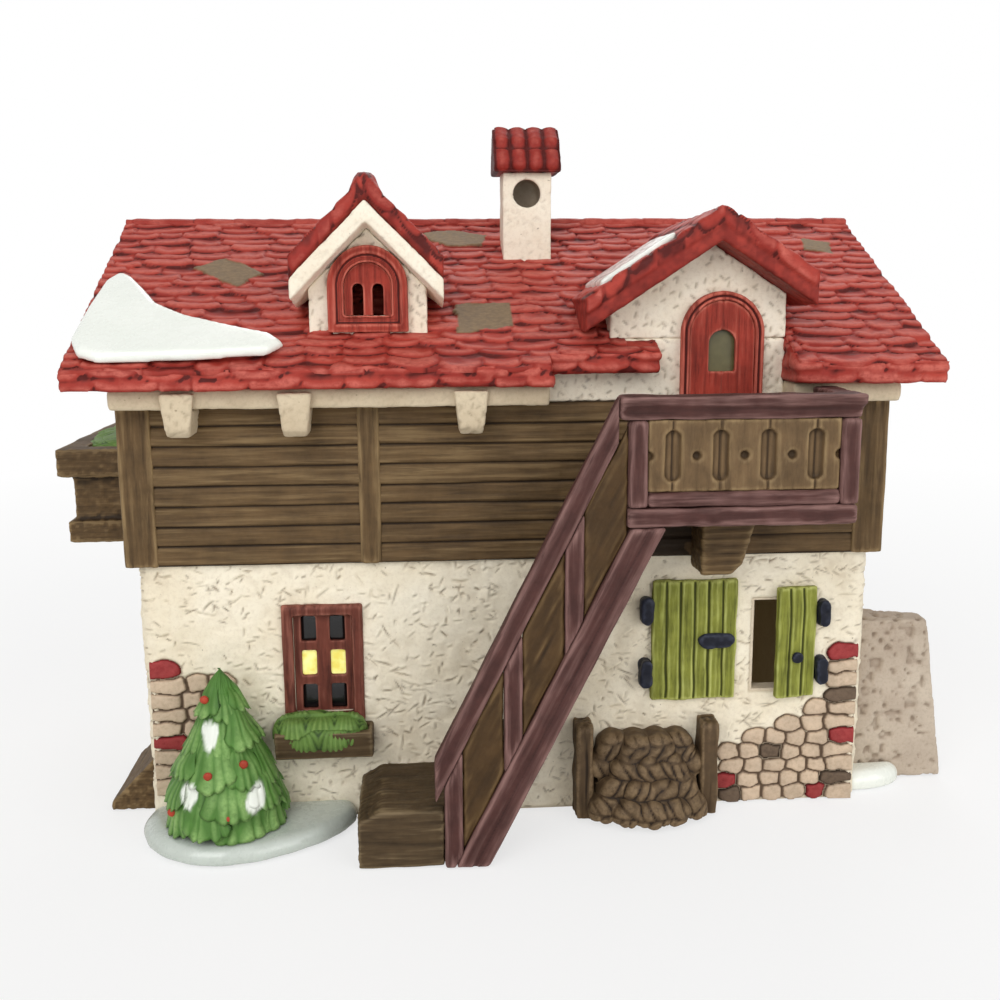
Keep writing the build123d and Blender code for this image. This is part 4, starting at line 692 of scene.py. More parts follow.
def stucco_skin():
    """The scratched stucco of the ground floor, in a front and a side piece."""
    along, place, out = perimeter(HOUSE_X, HOUSE_Y, CORNER_RADIUS, STUCCO_FRONT_STEP, STUCCO_SIDE_STEP)
    rows = np.linspace(0, GROUND_TOP, STUCCO_ROWS)
    depth, lip, ink = scratches(along, rows, SCRATCHES, (0.5, GROUND_TOP), 7)
    flat = wrap_points(place, out, rows)
    x, z = flat[..., 0], flat[..., 2]
    lumps = 0.3 * rough(flat, 10.0, 3, 2) + 0.34 * rough(flat, 2.8, 5, 2)
    offset = STUCCO_THICKNESS + lumps + lip - depth
    front, back = out[:, 1] < -FACING, out[:, 1] > FACING
    casing_low, casing_high = [corner[[0, 2]] for corner in node_box("window_casing")]
    clear = np.minimum(box_gap(x, z, casing_low + CASING_LAP, casing_high - CASING_LAP),
                       box_gap(x, z, HATCH_LOW, HATCH_HIGH))
    lamp_gap = np.hypot(x, z - LAMP_HOLE_Z) - LAMP_HOLE_RADIUS
    clear = np.where(front, clear, np.where(back, lamp_gap, CASING_LAP))
    stony = np.where(front, ease(nearest_stones(x, z)[2], -0.4, 0.25), 0.0)
    offset = np.clip(offset * (1 - stony) + 0.05 * stony, 0.06, 1.5)
    offset = (-TUCK + (offset + TUCK) * ease(clear, 0.0, 1.3)) * ease(rows, -0.4, 1.2)[:, None]
    open_cells = np.maximum(clear[:-1, :], clear[1:, :])
    keep = np.maximum(open_cells, np.roll(open_cells, -1, 1)) > 0
    wall = wrap_points(place, out, rows, offset)
    values = {"wear": 0.6 * np.clip(offset - STUCCO_THICKNESS, -1, 0.6),
              "ink": 0.9 * ink * (1 - stony) + 0.8 * stony}
    ahead = out[:, 1] < FACING - 1
    for label, chosen in (("stucco_front", ahead), ("stucco_sides", ~ahead)):
        quads = grid_faces(*x.shape, keep & chosen, wrap=True)
        points, quads, carried = used_only(wall, quads, values)
        piece(label, points, quads, "stucco", "stucco", **carried)


TIMBER_ROWS, TIMBER_FRONT_STEP, TIMBER_SIDE_STEP, TIMBER_RADIUS = 131, 0.65, 0.9, 0.5
BOARD_LENGTH = 48.0
# Width and height of the painted shade on the planks beside the balcony's bracket
BRACKET_SHADE_WIDTH, BRACKET_SHADE_HEIGHT = 16.0, 16.0


def timber_planks():
    """The planks of the timber storey, with painted shade beside the balcony's bracket, below the balcony."""
    along, place, out = perimeter(TIMBER_X, TIMBER_Y, TIMBER_RADIUS, TIMBER_FRONT_STEP, TIMBER_SIDE_STEP)
    rows = np.linspace(GROUND_TOP, TIMBER_TOP, TIMBER_ROWS)
    x, y, z = np.moveaxis(wrap_points(place, out, rows), -1, 0)
    bow = noise(along / 31.0, np.floor((rows - GROUND_TOP) / PLANK_PITCH + 0.5)[:, None] * 3.7, 0, 12)
    level = (rows[:, None] - GROUND_TOP + 0.2 * bow) / PLANK_PITCH
    plank = np.floor(level)
    share = level - plank
    groove = np.minimum(share, 1 - share) * PLANK_PITCH
    lengths = np.broadcast_to(whole(along / BOARD_LENGTH), share.shape)
    board = lattice(whole(level), lengths, 2, 8) - 0.5
    grain = noise(along / 9.0, 0, z / 0.55 + 3 * plank, 21)
    knots = noise(along / 4.0, 0, z / 2.2, 23)
    offset = 0.12 + 0.62 * ease(groove, 0.08, 0.5) + 0.2 * board + 0.1 * grain + 0.1 * knots - 0.25 * (share - 0.5)
    wear = 0.2 * (ease(groove, 0.05, 0.36) * 1.2 - 1.0) + 0.05 * grain + 0.06 * board - 0.02
    # Painted shade: the planks are painted darker in a patch left of the balcony's bracket, below the balcony
    bracket_left = node_box("balcony_bracket")[0][0]
    bracket_shade = np.maximum(np.abs(x - bracket_left + BRACKET_SHADE_WIDTH / 2) / (BRACKET_SHADE_WIDTH / 2),
                       (z - GROUND_TOP) / BRACKET_SHADE_HEIGHT)
    bracket_shade = ease(bracket_shade + 0.2 * noise(x / 2.0, 0, z / 2.0, 27), 1.05, 0.75) * (y < 0)
    piece("timber_skin", wrap_points(place, out, rows, np.clip(offset, 0.05, 1.1)),
          grid_faces(*x.shape, wrap=True), "timber", "timber_flat", wear=wear - 0.6 * bracket_shade)


stucco_skin()
timber_planks()

# Shingles
SHINGLE_WIDTH, SHINGLE_ROWS, SHINGLE_BUTT = 9.2, 20, 1.2
SLOPE_COLUMNS, SLOPE_ROWS = 400, 244
COURSE_WAVE, SIDE_WANDER, EDGE_JITTER, EDGE_CURVE = 0.26, 0.42, 0.44, 0.34
JOINT_WIDTH, NOSE_LENGTH, CROWN_FALL, SHADE_LENGTH = 0.45, 0.36, 0.62, 0.08
BARE_LEVEL, WALL_LAP, WINDOW_LAP, DOOR_LAP, STACK_LAP, DORMER_DEPTH = 0.95, 2.8, 3.0, 3.5, 0.8, 17.0
# Bare places on the front slope, as corners in X and Y
BARE_PATCHES = [[(-74.5, -24.5), (-66.8, -20.0), (-57.2, -27.0), (-62.2, -33.4), (-68.0, -29.5)],
                [(-19.0, -7.0), (-11.0, -5.6), (-2.6, -7.8), (-4.0, -13.0), (-12.2, -13.8), (-17.2, -11.0)],
                [(-11.8, -42.2), (0.8, -41.8), (1.0, -51.4), (-11.4, -54.8)],
                [(79.6, -10.4), (86.6, -12.8), (85.4, -18.6), (79.0, -16.4)]]


def shingle_relief(a, s, width, exposure, butt, seed):
    """Height, wear and tone of cast shingles, a along the courses and s up from the eave; the wear values hold
    painted highlight and painted shade too.
    """
    waved = s + COURSE_WAVE * exposure * noise(a / (2.1 * width), s / (2.4 * exposure), 0, seed)

    def find(row):
        """Cell along a course, place across it, and how far its lower edge is set up."""
        warped = a + SIDE_WANDER * width * noise(a / (1.2 * width), row * 5.37, 0, seed + 1)
        warped = warped + lattice(row, 11, 4, seed) * width
        cell = whole(warped / width)
        part = warped / width - cell
        jitter = (lattice(cell, row, 1, seed + 2) - 0.5) * EDGE_JITTER * exposure
        return cell, part, jitter + EDGE_CURVE * exposure * np.abs(2 * part - 1) ** 2.8

    row = whole(waved / exposure)
    row = np.where(waved - row * exposure < find(row)[2], row - 1, row)
    cell, part, edge = find(row)
    run = waved - row * exposure - edge
    share = run / exposure
    joint = bell(np.minimum(part, 1 - part) * width, JOINT_WIDTH) * ease(share, 1.15, 0.5)
    nose = np.sqrt(np.clip(run / (NOSE_LENGTH * exposure), 0, 1))
    crown = 1 - CROWN_FALL * np.clip(share, 0, 1.3)
    lift, tilt = (lattice(cell, row, k, seed + k + 1) - 0.5 for k in (2, 3))
    chips = noise(a / 2.4, s / 2.0, 0, seed + 6)
    height = butt * (0.16 + 0.84 * nose * crown) + 0.45 * lift + 0.8 * tilt * (part - 0.5)
    height = height - 0.55 * joint + 0.14 * chips
    # Painted light: the crown of each shingle is painted lighter as a painted highlight, and its lower edge and
    # the strip under the butt above are painted darker as painted shade, besides the dark joints
    shade = np.exp(-np.clip(run, 0, None) / (SHADE_LENGTH * exposure))
    wear = 0.95 * bell(share - 0.44, 0.3) - 1.6 * shade - 0.7 * joint
    wear = wear - 0.5 * ease(share, 0.95, 1.3) + 0.35 * chips + 0.5 * lift
    return np.maximum(height, 0.08), wear, lattice(cell, row, 5, seed + 7)


def inside_polygon(x, y, corners):
    """Whether each place is inside a polygon."""
    inside = np.zeros(x.shape, bool)
    for (x0, y0), (x1, y1) in zip(corners, corners[1:] + corners[:1]):
        inside ^= ((y0 > y) != (y1 > y)) & (x < (x1 - x0) * (y - y0) / (y1 - y0 + 1e-9) + x0)
    return inside


def front_openings():
    """Places in plan that the front shingles leave open, as low and high corners."""
    step_low, step_high = node_box("short_eave")
    window_low, window_high = node_box("window_dormer_walls")
    door_low, door_high = node_box("door_dormer_walls")
    stack_low, stack_high = node_box("chimney_stack")
    return (((step_low[0], -SLOPE), (door_high[0], step_low[1])),
            ((step_high[0], -SLOPE), (door_high[0], WALL_LAP - TIMBER_Y)),
            (window_low[:2] + WINDOW_LAP, (window_high[0] - WINDOW_LAP, window_low[1] + DORMER_DEPTH)),
            (door_low[:2] + (DOOR_LAP, -DOOR_LAP), (door_high[0] - DOOR_LAP, door_low[1] + DORMER_DEPTH + 0.5)),
            (stack_low[:2] + STACK_LAP, stack_high[:2] - STACK_LAP))


def slope_sheet(name, node, facing, seed):
    """The shingles of one slope; facing is -1 for the front and 1 for the back."""
    x, s = np.meshgrid(np.linspace(-ROOF_X + 0.1, ROOF_X - 0.1, SLOPE_COLUMNS), np.linspace(0, SLOPE, SLOPE_ROWS))
    height, wear, tone = shingle_relief(x, s, SHINGLE_WIDTH, SLOPE / SHINGLE_ROWS, SHINGLE_BUTT, seed)
    s = s - 1.1 * ease(s, 3.0, 0.0) * (0.5 + 0.5 * noise(x / 5.0, 0, 0, seed + 9))
    y = facing * (SLOPE - s) * math.cos(ROOF_PITCH)
    up = np.array([0, facing * math.sin(ROOF_PITCH), math.cos(ROOF_PITCH)])
    base = np.stack([x, y, RIDGE - (SLOPE - s) * math.sin(ROOF_PITCH)], -1)
    bare = np.zeros(x.shape)
    keep = np.ones((SLOPE_ROWS - 1, SLOPE_COLUMNS - 1), bool)
    if facing < 0:
        wx, wy = x + 0.5 * noise(x / 3.0, y / 3.0, 0, 51), y + 0.5 * noise(x / 3.0, y / 3.0, 4, 52)
        for corners in BARE_PATCHES:
            bare = np.maximum(bare, inside_polygon(wx, wy, corners))
        height = np.where(bare > 0, BARE_LEVEL, height)
        cx, cy = ((v[:-1, :-1] + v[1:, 1:]) / 2 for v in (x, y))
        for low, high in front_openings():
            keep &= ~((cx > low[0]) & (cx < high[0]) & (cy > low[1]) & (cy < high[1]))
    quads = grid_faces(SLOPE_ROWS, SLOPE_COLUMNS, keep)
    sheet(name, base + height[..., None] * up, base - 0.4 * up, quads if facing < 0 else quads[:, ::-1],
          slot_of[node], "roof_red", (node,), wear=wear, tone=tone, bare=bare)


slope_sheet("front_shingle_courses", "front_shingles", -1, 100)
slope_sheet("back_shingle_courses", "back_shingles", 1, 200)

RIDGE_TILE, ROLL_TURN, ROLL_RADIUS, ROLL_FLAT = 13.0, 118, 1.3, 1.3


def ridge_roll():
    """A low roll of half-round tiles along the ridge."""
    x, turn = np.meshgrid(np.linspace(-ROOF_X, ROOF_X, 420), np.radians(np.linspace(-ROLL_TURN, ROLL_TURN, 15)))
    tile = x / RIDGE_TILE + 0.25 * noise(x / RIDGE_TILE, 0, 0, 61)
    part = tile - np.floor(tile)
    lap = 0.4 * (1 - part) - 0.4 * bell(part * RIDGE_TILE, 0.45)
    radius = ROLL_RADIUS + 0.5 * lap + 0.12 * noise(x / 2.0, turn * 2, 0, 62)
    roll = np.stack([x, radius * ROLL_FLAT * np.sin(turn), RIDGE + radius * np.cos(turn)], -1)
    axis = np.stack([x, 0 * x, np.full(x.shape, RIDGE - 1.2)], -1)
    # The roll is painted lighter all over as a painted highlight, and dark at the tile joints
    wear = 0.35 + 0.3 * noise(x / 3.0, turn, 0, 64) - 0.9 * bell(part * RIDGE_TILE, 0.4)
    sheet("ridge_tiles", roll, axis, grid_faces(*x.shape)[:, ::-1], "red_tile", "roof_red", wear=wear,
          tone=lattice(whole(tile), 2, 2, 63), bare=0 * x)


ridge_roll()


def tiled(lie, sizes, seed, shade_dim=0.1, bump=None):
    """Relief and paint values of a red casting whose places on its tiles are given by a function; the casting is
    painted darker all over as painted shade.
    """
    def shape(points, normals):
        a, s, share = lie(points, normals)
        height = shingle_relief(a, s, *sizes, seed)[0] * share
        if bump:
            height = height + bump(points, normals)
        return height + 0.1 * rough(points, 1.6, seed, 2)

    def extra(points, normals):
        a, s, share = lie(points, normals)
        wear, tone = shingle_relief(a, s, *sizes, seed)[1:]
        # Painted shade: the paint values are lowered over the whole casting, which darkens it
        wear = wear * share + 0.35 * rough(points, 1.4, 81, 2) - shade_dim
        return {"wear": wear, "tone": tone, "bare": np.zeros(len(points))}
    return shape, extra


FRONT_TILES, FRONT_BLEND = 2.6, 0.3
OTHER_SIDE = 400.0
KNOB_RISE, KNOB_WIDTH, KNOB_LENGTH, KNOB_BACK = 2.0, 2.0, 3.4, 4.0
window_roof_low, window_roof_high = node_box("window_dormer_roof")
window_apex = (window_roof_low[0] + window_roof_high[0]) / 2
door_apex = node_box("door_dormer_roof")[0][0] + DOOR_APEX_FROM_LEFT


def dormer_lie(node, apex, pitch):
    """Places on the two slopes of a dormer roof: along its eaves, up its slopes, and how far it is tiled."""
    low, high = node_box(node)

    def lie(points, normals):
        x, y, z = points.T
        left = x < apex
        half = np.where(left, apex - low[0], high[0] - apex)
        off = np.abs(x - apex)
        sunk = (high[2] - z) * math.cos(pitch) - off * math.sin(pitch)
        face = -normals[:, 1] > 0.6
        along = np.where(face, off / math.cos(pitch), y) + np.where(left, 0.0, OTHER_SIDE)
        up = np.where(face, FRONT_TILES - sunk, (half - off) / math.cos(pitch))
        band = 0.9 * ease(sunk, FRONT_TILES + FRONT_BLEND, FRONT_TILES - FRONT_BLEND)
        return along, up, 0.8 * np.where(face, band, ease(normals[:, 2], 0.25, 0.55))
    return lie


def edge_lie(points, normals):
    """Places on the upright edges of the main roof."""
    upright = ease(np.abs(normals[:, 1]) + np.abs(normals[:, 0]), 0.5, 0.8)
    return points[:, 0] + points[:, 1], points[:, 2] - EAVE_UNDER + 0.4, upright


def ridge_knob(points, normals):
    """The rounded knob at the front of the window dormer's ridge."""
    x, y, _ = points.T
    crest = bell(x - window_apex, KNOB_WIDTH) * bell(y - window_roof_low[1] - KNOB_BACK, KNOB_LENGTH)
    return KNOB_RISE * crest * ease(normals[:, 2], 0.0, 0.5)


CAP_BARRELS, CAP_ROWS, BARREL_RISE, BARREL_MEAN = 4, 2, 1.5, 0.55
cap_low, cap_high = node_box("chimney_cap")


def barrels(points):
    """Swell of the half-round tiles across the chimney cap, and height over the lower end of their row."""
    across, _, level = ((points - cap_low) / (cap_high - cap_low)).T
    level = CAP_ROWS * level
    return np.abs(np.sin(math.pi * CAP_BARRELS * across)) ** 0.6, np.clip(level - np.floor(level), 0, 1)


def barrel_shape(points, normals):
    swell, run = barrels(points)
    sloped = np.clip(ease(normals[:, 2], 0.1, 0.45) + ease(np.abs(normals[:, 1]), 0.5, 0.85), 0, 1)
    nose = np.sqrt(np.clip(run / 0.3, 0, 1)) * (1 - 0.5 * run)
    return BARREL_RISE * (swell * nose - BARREL_MEAN) * sloped + 0.14 * rough(points, 1.6, 91, 2)


def barrel_extra(points, normals):
    swell, run = barrels(points)
    # A painted highlight on the crown of each barrel; dark gaps between the barrels, and painted shade at the
    # lower end of each row
    wear = 1.7 * swell - 1.35 - 0.9 * np.exp(-run / 0.12) + 0.4 * rough(points, 1.4, 92, 2)
    return {"wear": wear, "tone": 0.1 + 0.2 * rough(points, 4.0, 93, 2), "bare": np.zeros(len(points))}


# Cream plaster pieces and the yard wall
MARK_TURNS, MARK_GAP, MARK_LENGTH, MARK_WIDTH, MARK_SHARE = (0.5, -0.7, 1.35), 2.4, 2.6, 0.28, 0.36
SMOKE_HOLE_DEPTH, SMOKE_HOLE_MARGIN = 0.6, 1.0
stack_low, stack_high = node_box("chimney_stack")


def plaster(seed, marks, pits=0.0, hollow=None):
    """Uneven plaster with short scratches or pits, and the ink that sits in them, with painted shade in a hollow
    where one is given.
    """
    def relief(points):
        line = np.zeros(len(points))
        flat, z = points[:, 0] + points[:, 1], points[:, 2]
        for turn in MARK_TURNS:
            ca, sa = math.cos(turn), math.sin(turn)
            run, side = flat * ca + z * sa, -flat * sa + z * ca
            cell = whole(side / MARK_GAP)
            drawn = run / MARK_LENGTH + lattice(cell, 3, 1, seed) * 4
            bit = whole(drawn)
            on = lattice(cell, bit, 5, seed + 1) < MARK_SHARE
            middle = (side / MARK_GAP - cell - 0.5) * MARK_GAP + 1.1 * (lattice(cell, bit, 8, seed + 2) - 0.5)
            stretch = np.abs(drawn - bit - 0.5) * 2
            line = np.maximum(line, on * bell(middle, MARK_WIDTH) * np.clip(1.1 - (1.5 * stretch) ** 3, 0, 1))
        return line

    def holes(points):
        return ease(rough(points, 1.9, seed + 6, 2), 0.05, 0.45)

    def shape(points, normals):
        return 0.22 * rough(points, 4.0, seed + 3, 3) - marks * relief(points) - pits * holes(points)

    def extra(points, normals):
        ink = 2.4 * marks * relief(points) * (0.6 + 0.4 * rough(points, 3.0, seed + 4, 1))
        ink = ink + 0.3 * pits * holes(points)
        # The ink values also carry painted shade in the hollow, where one is given
        return {"ink": np.maximum(ink, hollow(points) if hollow else 0)}
    return shape, extra


def smoke_hole_shade(points):
    """Painted shade inside the chimney's smoke hole, behind its face, on its inside only."""
    x, y, _ = points.T
    half = (stack_high[0] - stack_low[0]) / 2
    inner = np.abs(x - (stack_low[0] + stack_high[0]) / 2) < half - SMOKE_HOLE_MARGIN
    return 1.0 * (inner & (y > stack_low[1] + SMOKE_HOLE_DEPTH) & (y < stack_high[1] - SMOKE_HOLE_DEPTH))


# Painted wood and snow
ALONG_X, ALONG_Y, ALONG_Z = (12.0, 1.0, 0.9), (1.0, 12.0, 0.9), (1.0, 1.0, 12.0)
BOARD_PITCH, SHUTTER_PLANK = 10.0, 3.4
BAND_DEPTH, BAND_WIDTH, BOARD_GROOVE, SHUTTER_GROOVE = 0.65, 0.26, (0.4, 0.24), (0.5, 0.3)
ROW_HEIGHT, CHOP_WIDTH, CHOP_LEAN, CHOP_DEPTH, STACK_SWELL = 3.6, 2.7, 0.8, 0.6, 1.5
board_low, board_high = node_box("balcony_posts")


def wood(size, seed, amount=0.16, lumps=0.12, cut=None):
    """Carved grain, long along one axis, less what is cut into it."""
    def shape(points, normals):
        height = amount * rough(points, size, seed, 2) + lumps * rough(points, 5.0, seed + 5, 2)
        return height - cut(points, normals) if cut else height
    return shape


def turned_wood(seed, amount):
    """Carved grain along the pitch of the stair."""
    def shape(points, normals):
        x, y, z = points.T
        run = x * math.cos(STAIR_ANGLE) + z * math.sin(STAIR_ANGLE)
        side = -x * math.sin(STAIR_ANGLE) + z * math.cos(STAIR_ANGLE)
        return amount * noise(run / 9.0, y / 1.1, side / 0.9, seed) + 0.1 * rough(points, 5.0, seed + 5, 2)
    return shape


def arch_bands(node, groove_at, step_at, step):
    """Bands along an arched frame: a groove, and a step down inside it, at distances from its outer edge."""
    low, high = node_box(node)
    middle, half = (low[0] + high[0]) / 2, (high[0] - low[0]) / 2
    spring = high[2] - half

    def cut(points, normals):
        x, _, z = points.T
        across = np.abs(x - middle)
        inward = half - np.where(z > spring, np.hypot(across, z - spring), across)
        if step:
            inward = np.minimum(inward, z - low[2])
        groove = BAND_DEPTH * bell(inward - groove_at, BAND_WIDTH)
        return ease(-normals[:, 1], 0.2, 0.7) * (groove + step * ease(inward, step_at - 0.2, step_at + 0.2))
    return cut


def board_joints(points, normals):
    """Upright joints between the balcony boards, one through each slot."""
    depth, width = BOARD_GROOVE
    off = (points[:, 0] - (board_low[0] + board_high[0]) / 2) / BOARD_PITCH - 0.5
    return depth * ease(-normals[:, 1], 0.3, 0.8) * bell((off - np.round(off)) * BOARD_PITCH, width)


def shutter_planks(node):
    """Upright grooves between the planks of a shutter."""
    low, high = node_box(node)
    count = round((high[0] - low[0]) / SHUTTER_PLANK)
    depth, width = SHUTTER_GROOVE

    def cut(points, normals):
        x, _, z = points.T
        lane = (x - low[0] + 0.25 * noise(z / 6.0, 0, 0, count)) / (high[0] - low[0]) * count
        between = np.abs(lane - count / 2) < count / 2 - 0.5
        groove = bell((lane - np.round(lane)) * SHUTTER_PLANK, width) * between
        return depth * ease(-normals[:, 1], 0.2, 0.6) * groove
    return cut


def chopped(points, normals):
    """Rows of slanted chopped ends on the bulging front of the stack, taken as a cut."""
    x, _, z = points.T
    row = z / ROW_HEIGHT + 0.4 * noise(x / 5.0, 0, 0, 533)
    level = np.floor(row)
    lean = np.where(level % 2 > 0, CHOP_LEAN, -CHOP_LEAN) * (row - level) + 0.43 * level
    slant = x / CHOP_WIDTH + lean + 0.6 * noise(x / 4.0, level * 3.1, 0, 534)
    lump = np.sin(math.pi * (slant - np.floor(slant))) ** 0.6 * np.sin(math.pi * (row - level)) ** 0.45
    swell = STACK_SWELL * ease(normals[:, 2], -0.7, -0.3) + 0.3 * rough(points, (2.6, 2.6, 3.4), 535, 3)
    return CHOP_DEPTH * ease(-normals[:, 1], 0.1, 0.5) * (0.55 - lump) - swell


def drift(seed, amount):
    """Soft swells in a glaze."""
    def shape(points, normals):
        return amount * rough(points, 14.0, seed, 2)
    return shape


# The castings: node, paint, voxel size, rounds of softening, and functions for its relief and its paint values
WINDOW_TILES, DOOR_TILES, EDGE_TILES = (7.0, 4.4, 1.1), (8.0, 5.6, 1.2), (10.0, 2.9, 0.9)
window_lie = dormer_lie("window_dormer_roof", window_apex, WINDOW_DORMER_PITCH)
door_lie = dormer_lie("door_dormer_roof", door_apex, DOOR_DORMER_PITCH)
window_bands = arch_bands("window_dormer_frame", 2.1, 2.4, 0.55)
door_bands = arch_bands("door_frame", 1.1, 1.2, 0.0)
for node, paint, voxel, soften, *look in (
    # The last number given to tiled is painted shade over the whole casting, strongest on the dormer roofs
    ("window_dormer_roof", "roof_red", 0.42, 3, *tiled(window_lie, WINDOW_TILES, 300, 0.35, ridge_knob)),
    ("door_dormer_roof", "roof_red", 0.42, 3, *tiled(door_lie, DOOR_TILES, 320, 0.3)),
    ("roof_shell", "roof_red", 0.69, 2, *tiled(edge_lie, EDGE_TILES, 340)),
    ("short_eave", "roof_red", 0.42, 3, *tiled(edge_lie, EDGE_TILES, 340)),
    ("chimney_cap", "roof_red", 0.3, 4, barrel_shape, barrel_extra),
    ("window_dormer_walls", "cream", 0.36, 3, *plaster(400, 0.3)),
    ("door_dormer_walls", "cream", 0.36, 3, *plaster(410, 0.34)),
    ("door_wall", "cream", 0.36, 3, *plaster(420, 0.34)),
    ("window_dormer_barge", "cream", 0.4, 3, *plaster(450, 0.1)),
    ("eaves_corbels", "eave_cream", 0.38, 3, *plaster(440, 0.18)),
    ("eaves_soffit", "eave_cream", 0.7, 3, *plaster(460, 0.1)),
    ("chimney_stack", "cream", 0.36, 3, *plaster(430, 0.14, hollow=smoke_hole_shade)),
    ("yard_wall", "yard_beige", 0.4, 5, *plaster(470, 0.0, pits=0.7)),
    ("timber_posts", "timber_z", 0.42, 4, wood(ALONG_Z, 500, 0.2)),
    ("gable_ends", "timber_flat", 0.5, 2, wood(ALONG_Y, 505, 0.14, 0.06)),
    ("window_box", "block_brown", 0.34, 4, wood(ALONG_X, 510)),
    ("balcony_bracket", "timber_flat", 0.42, 9, wood(ALONG_X, 515, 0.25)),
    ("stair_foot_block", "block_brown", 0.42, 7, wood(ALONG_X, 520, 0.25, 0.3)),
    ("rack_posts", "log_brown", 0.38, 5, wood(ALONG_Z, 525, 0.3, 0.4)),
    ("rack_firewood", "log_brown", 0.36, 70, wood((1.2, 9.0, 1.2), 530, 0.15, cut=chopped)),
    ("side_balcony", "timber_flat", 0.5, 3, wood(ALONG_Y, 535, 0.2)),
    ("cellar_hatch", "timber_flat", 0.42, 3, wood(ALONG_Y, 540, 0.2)),
    ("window_casing", "frame_red", 0.32, 9, wood(ALONG_Z, 545, 0.1, 0.1)),
    ("window_sash", "frame_red", 0.24, 4, wood(ALONG_Z, 550, 0.06, 0.05)),
    ("window_dormer_frame", "door_red", 0.26, 4, wood(ALONG_Z, 555, 0.1, 0.06, window_bands)),
    ("window_dormer_sash", "door_red", 0.24, 3, wood(ALONG_Z, 560, 0.06, 0.03)),
    ("door_frame", "door_red", 0.28, 4, wood(ALONG_Z, 565, 0.1, 0.06, door_bands)),
    ("door_leaf", "door_red", 0.28, 2, wood(ALONG_Z, 570, 0.08, 0.03)),
    ("balcony_top_rail", "mauve_x", 0.4, 10, wood(ALONG_X, 575, 0.14, 0.25)),
    ("balcony_bottom_rail", "mauve_x", 0.4, 9, wood(ALONG_X, 580, 0.14, 0.25)),
    ("balcony_posts", "mauve_z", 0.4, 9, wood(ALONG_Z, 585, 0.08)),
    ("balcony_deck", "mauve_x", 0.45, 6, wood(ALONG_X, 590, 0.16, 0.3)),
    ("balcony_panels", "board_z", 0.32, 3, wood(ALONG_Z, 595, 0.1, 0.06, board_joints)),
    ("stair_handrail", "mauve_stair", 0.4, 11, turned_wood(600, 0.08)),
    ("stair_stringer", "mauve_stair", 0.4, 9, turned_wood(605, 0.08)),
    ("stair_posts", "mauve_z", 0.4, 10, wood(ALONG_Z, 610, 0.08)),
    ("stair_panels", "board_stair", 0.4, 4, turned_wood(615, 0.25)),
    ("stair_flight", "board_x", 0.55, 3, wood(ALONG_Y, 620)),
    ("left_shutter", "shutter_green", 0.28, 4, wood(ALONG_Z, 625, 0.1, 0.4, shutter_planks("left_shutter"))),
    ("right_shutter", "shutter_green", 0.28, 4, wood(ALONG_Z, 630, 0.1, 0.3, shutter_planks("right_shutter"))),
    ("shutter_ironwork", "iron", 0.28, 9, wood((2.0, 2.0, 2.0), 635, 0.3, 0.5)),
    ("roof_snow", "snow_glaze", 0.42, 10, drift(700, 0.25)),
    ("tree_snow_pad", "pad_glaze", 0.5, 40, drift(710, 0.5)),
    ("yard_snow", "snow_glaze", 0.4, 24, drift(720, 0.3)),
):
    recast(node, paint, voxel, soften, *look)


# Tree: rings of fanned boughs around a cone; the profile is height and radius as shares
TREE_PROFILE = ((0.0, 1.0), (0.12, 1.0), (0.24, 0.95), (0.43, 0.77), (0.64, 0.52), (0.86, 0.28), (0.96, 0.12),
                (1.0, 0.03))
TREE_TIERS = ((0.0, 0.34), (0.14, 0.5), (0.31, 0.68), (0.5, 0.86), (0.7, 1.0))
TREE_OFFSET = 9.5
FAN_WIDTH, FAN_RIDGES, FAN_PROUD, FAN_FLARE, FAN_COLUMNS, FAN_ROWS = 8.6, 5, 1.7, 3.2, 44, 16
# Snow brushed on the boughs and berries, by distance from the middle of the tree and height over its foot
SNOW_DABS = ((-1.6, 22.6), (-6.2, 10.2), (8.0, 8.6))
DAB_HALF_WIDTH, DAB_HALF_HEIGHT = 1.9, 3.0
BERRIES = ((-3.0, 30.0), (-1.9, 15.0), (5.6, 16.6), (2.2, 6.0), (-10.6, 5.6))
BERRY_RADII, BERRY_PROUD = (1.0, 0.6, 0.95), 0.9
tree_low, tree_high = node_box("tree")
tree_x, tree_y, tree_base = (tree_low[0] + tree_high[0]) / 2, -HOUSE_Y - TREE_OFFSET, tree_low[2]
tree_height, tree_radius = tree_high[2] - tree_low[2], 0.92 * (tree_high[0] - tree_low[0]) / 2


def tree_reach(share):
    """Radius of the tree at a share of its height."""
    return tree_radius * np.interp(share, *zip(*TREE_PROFILE))


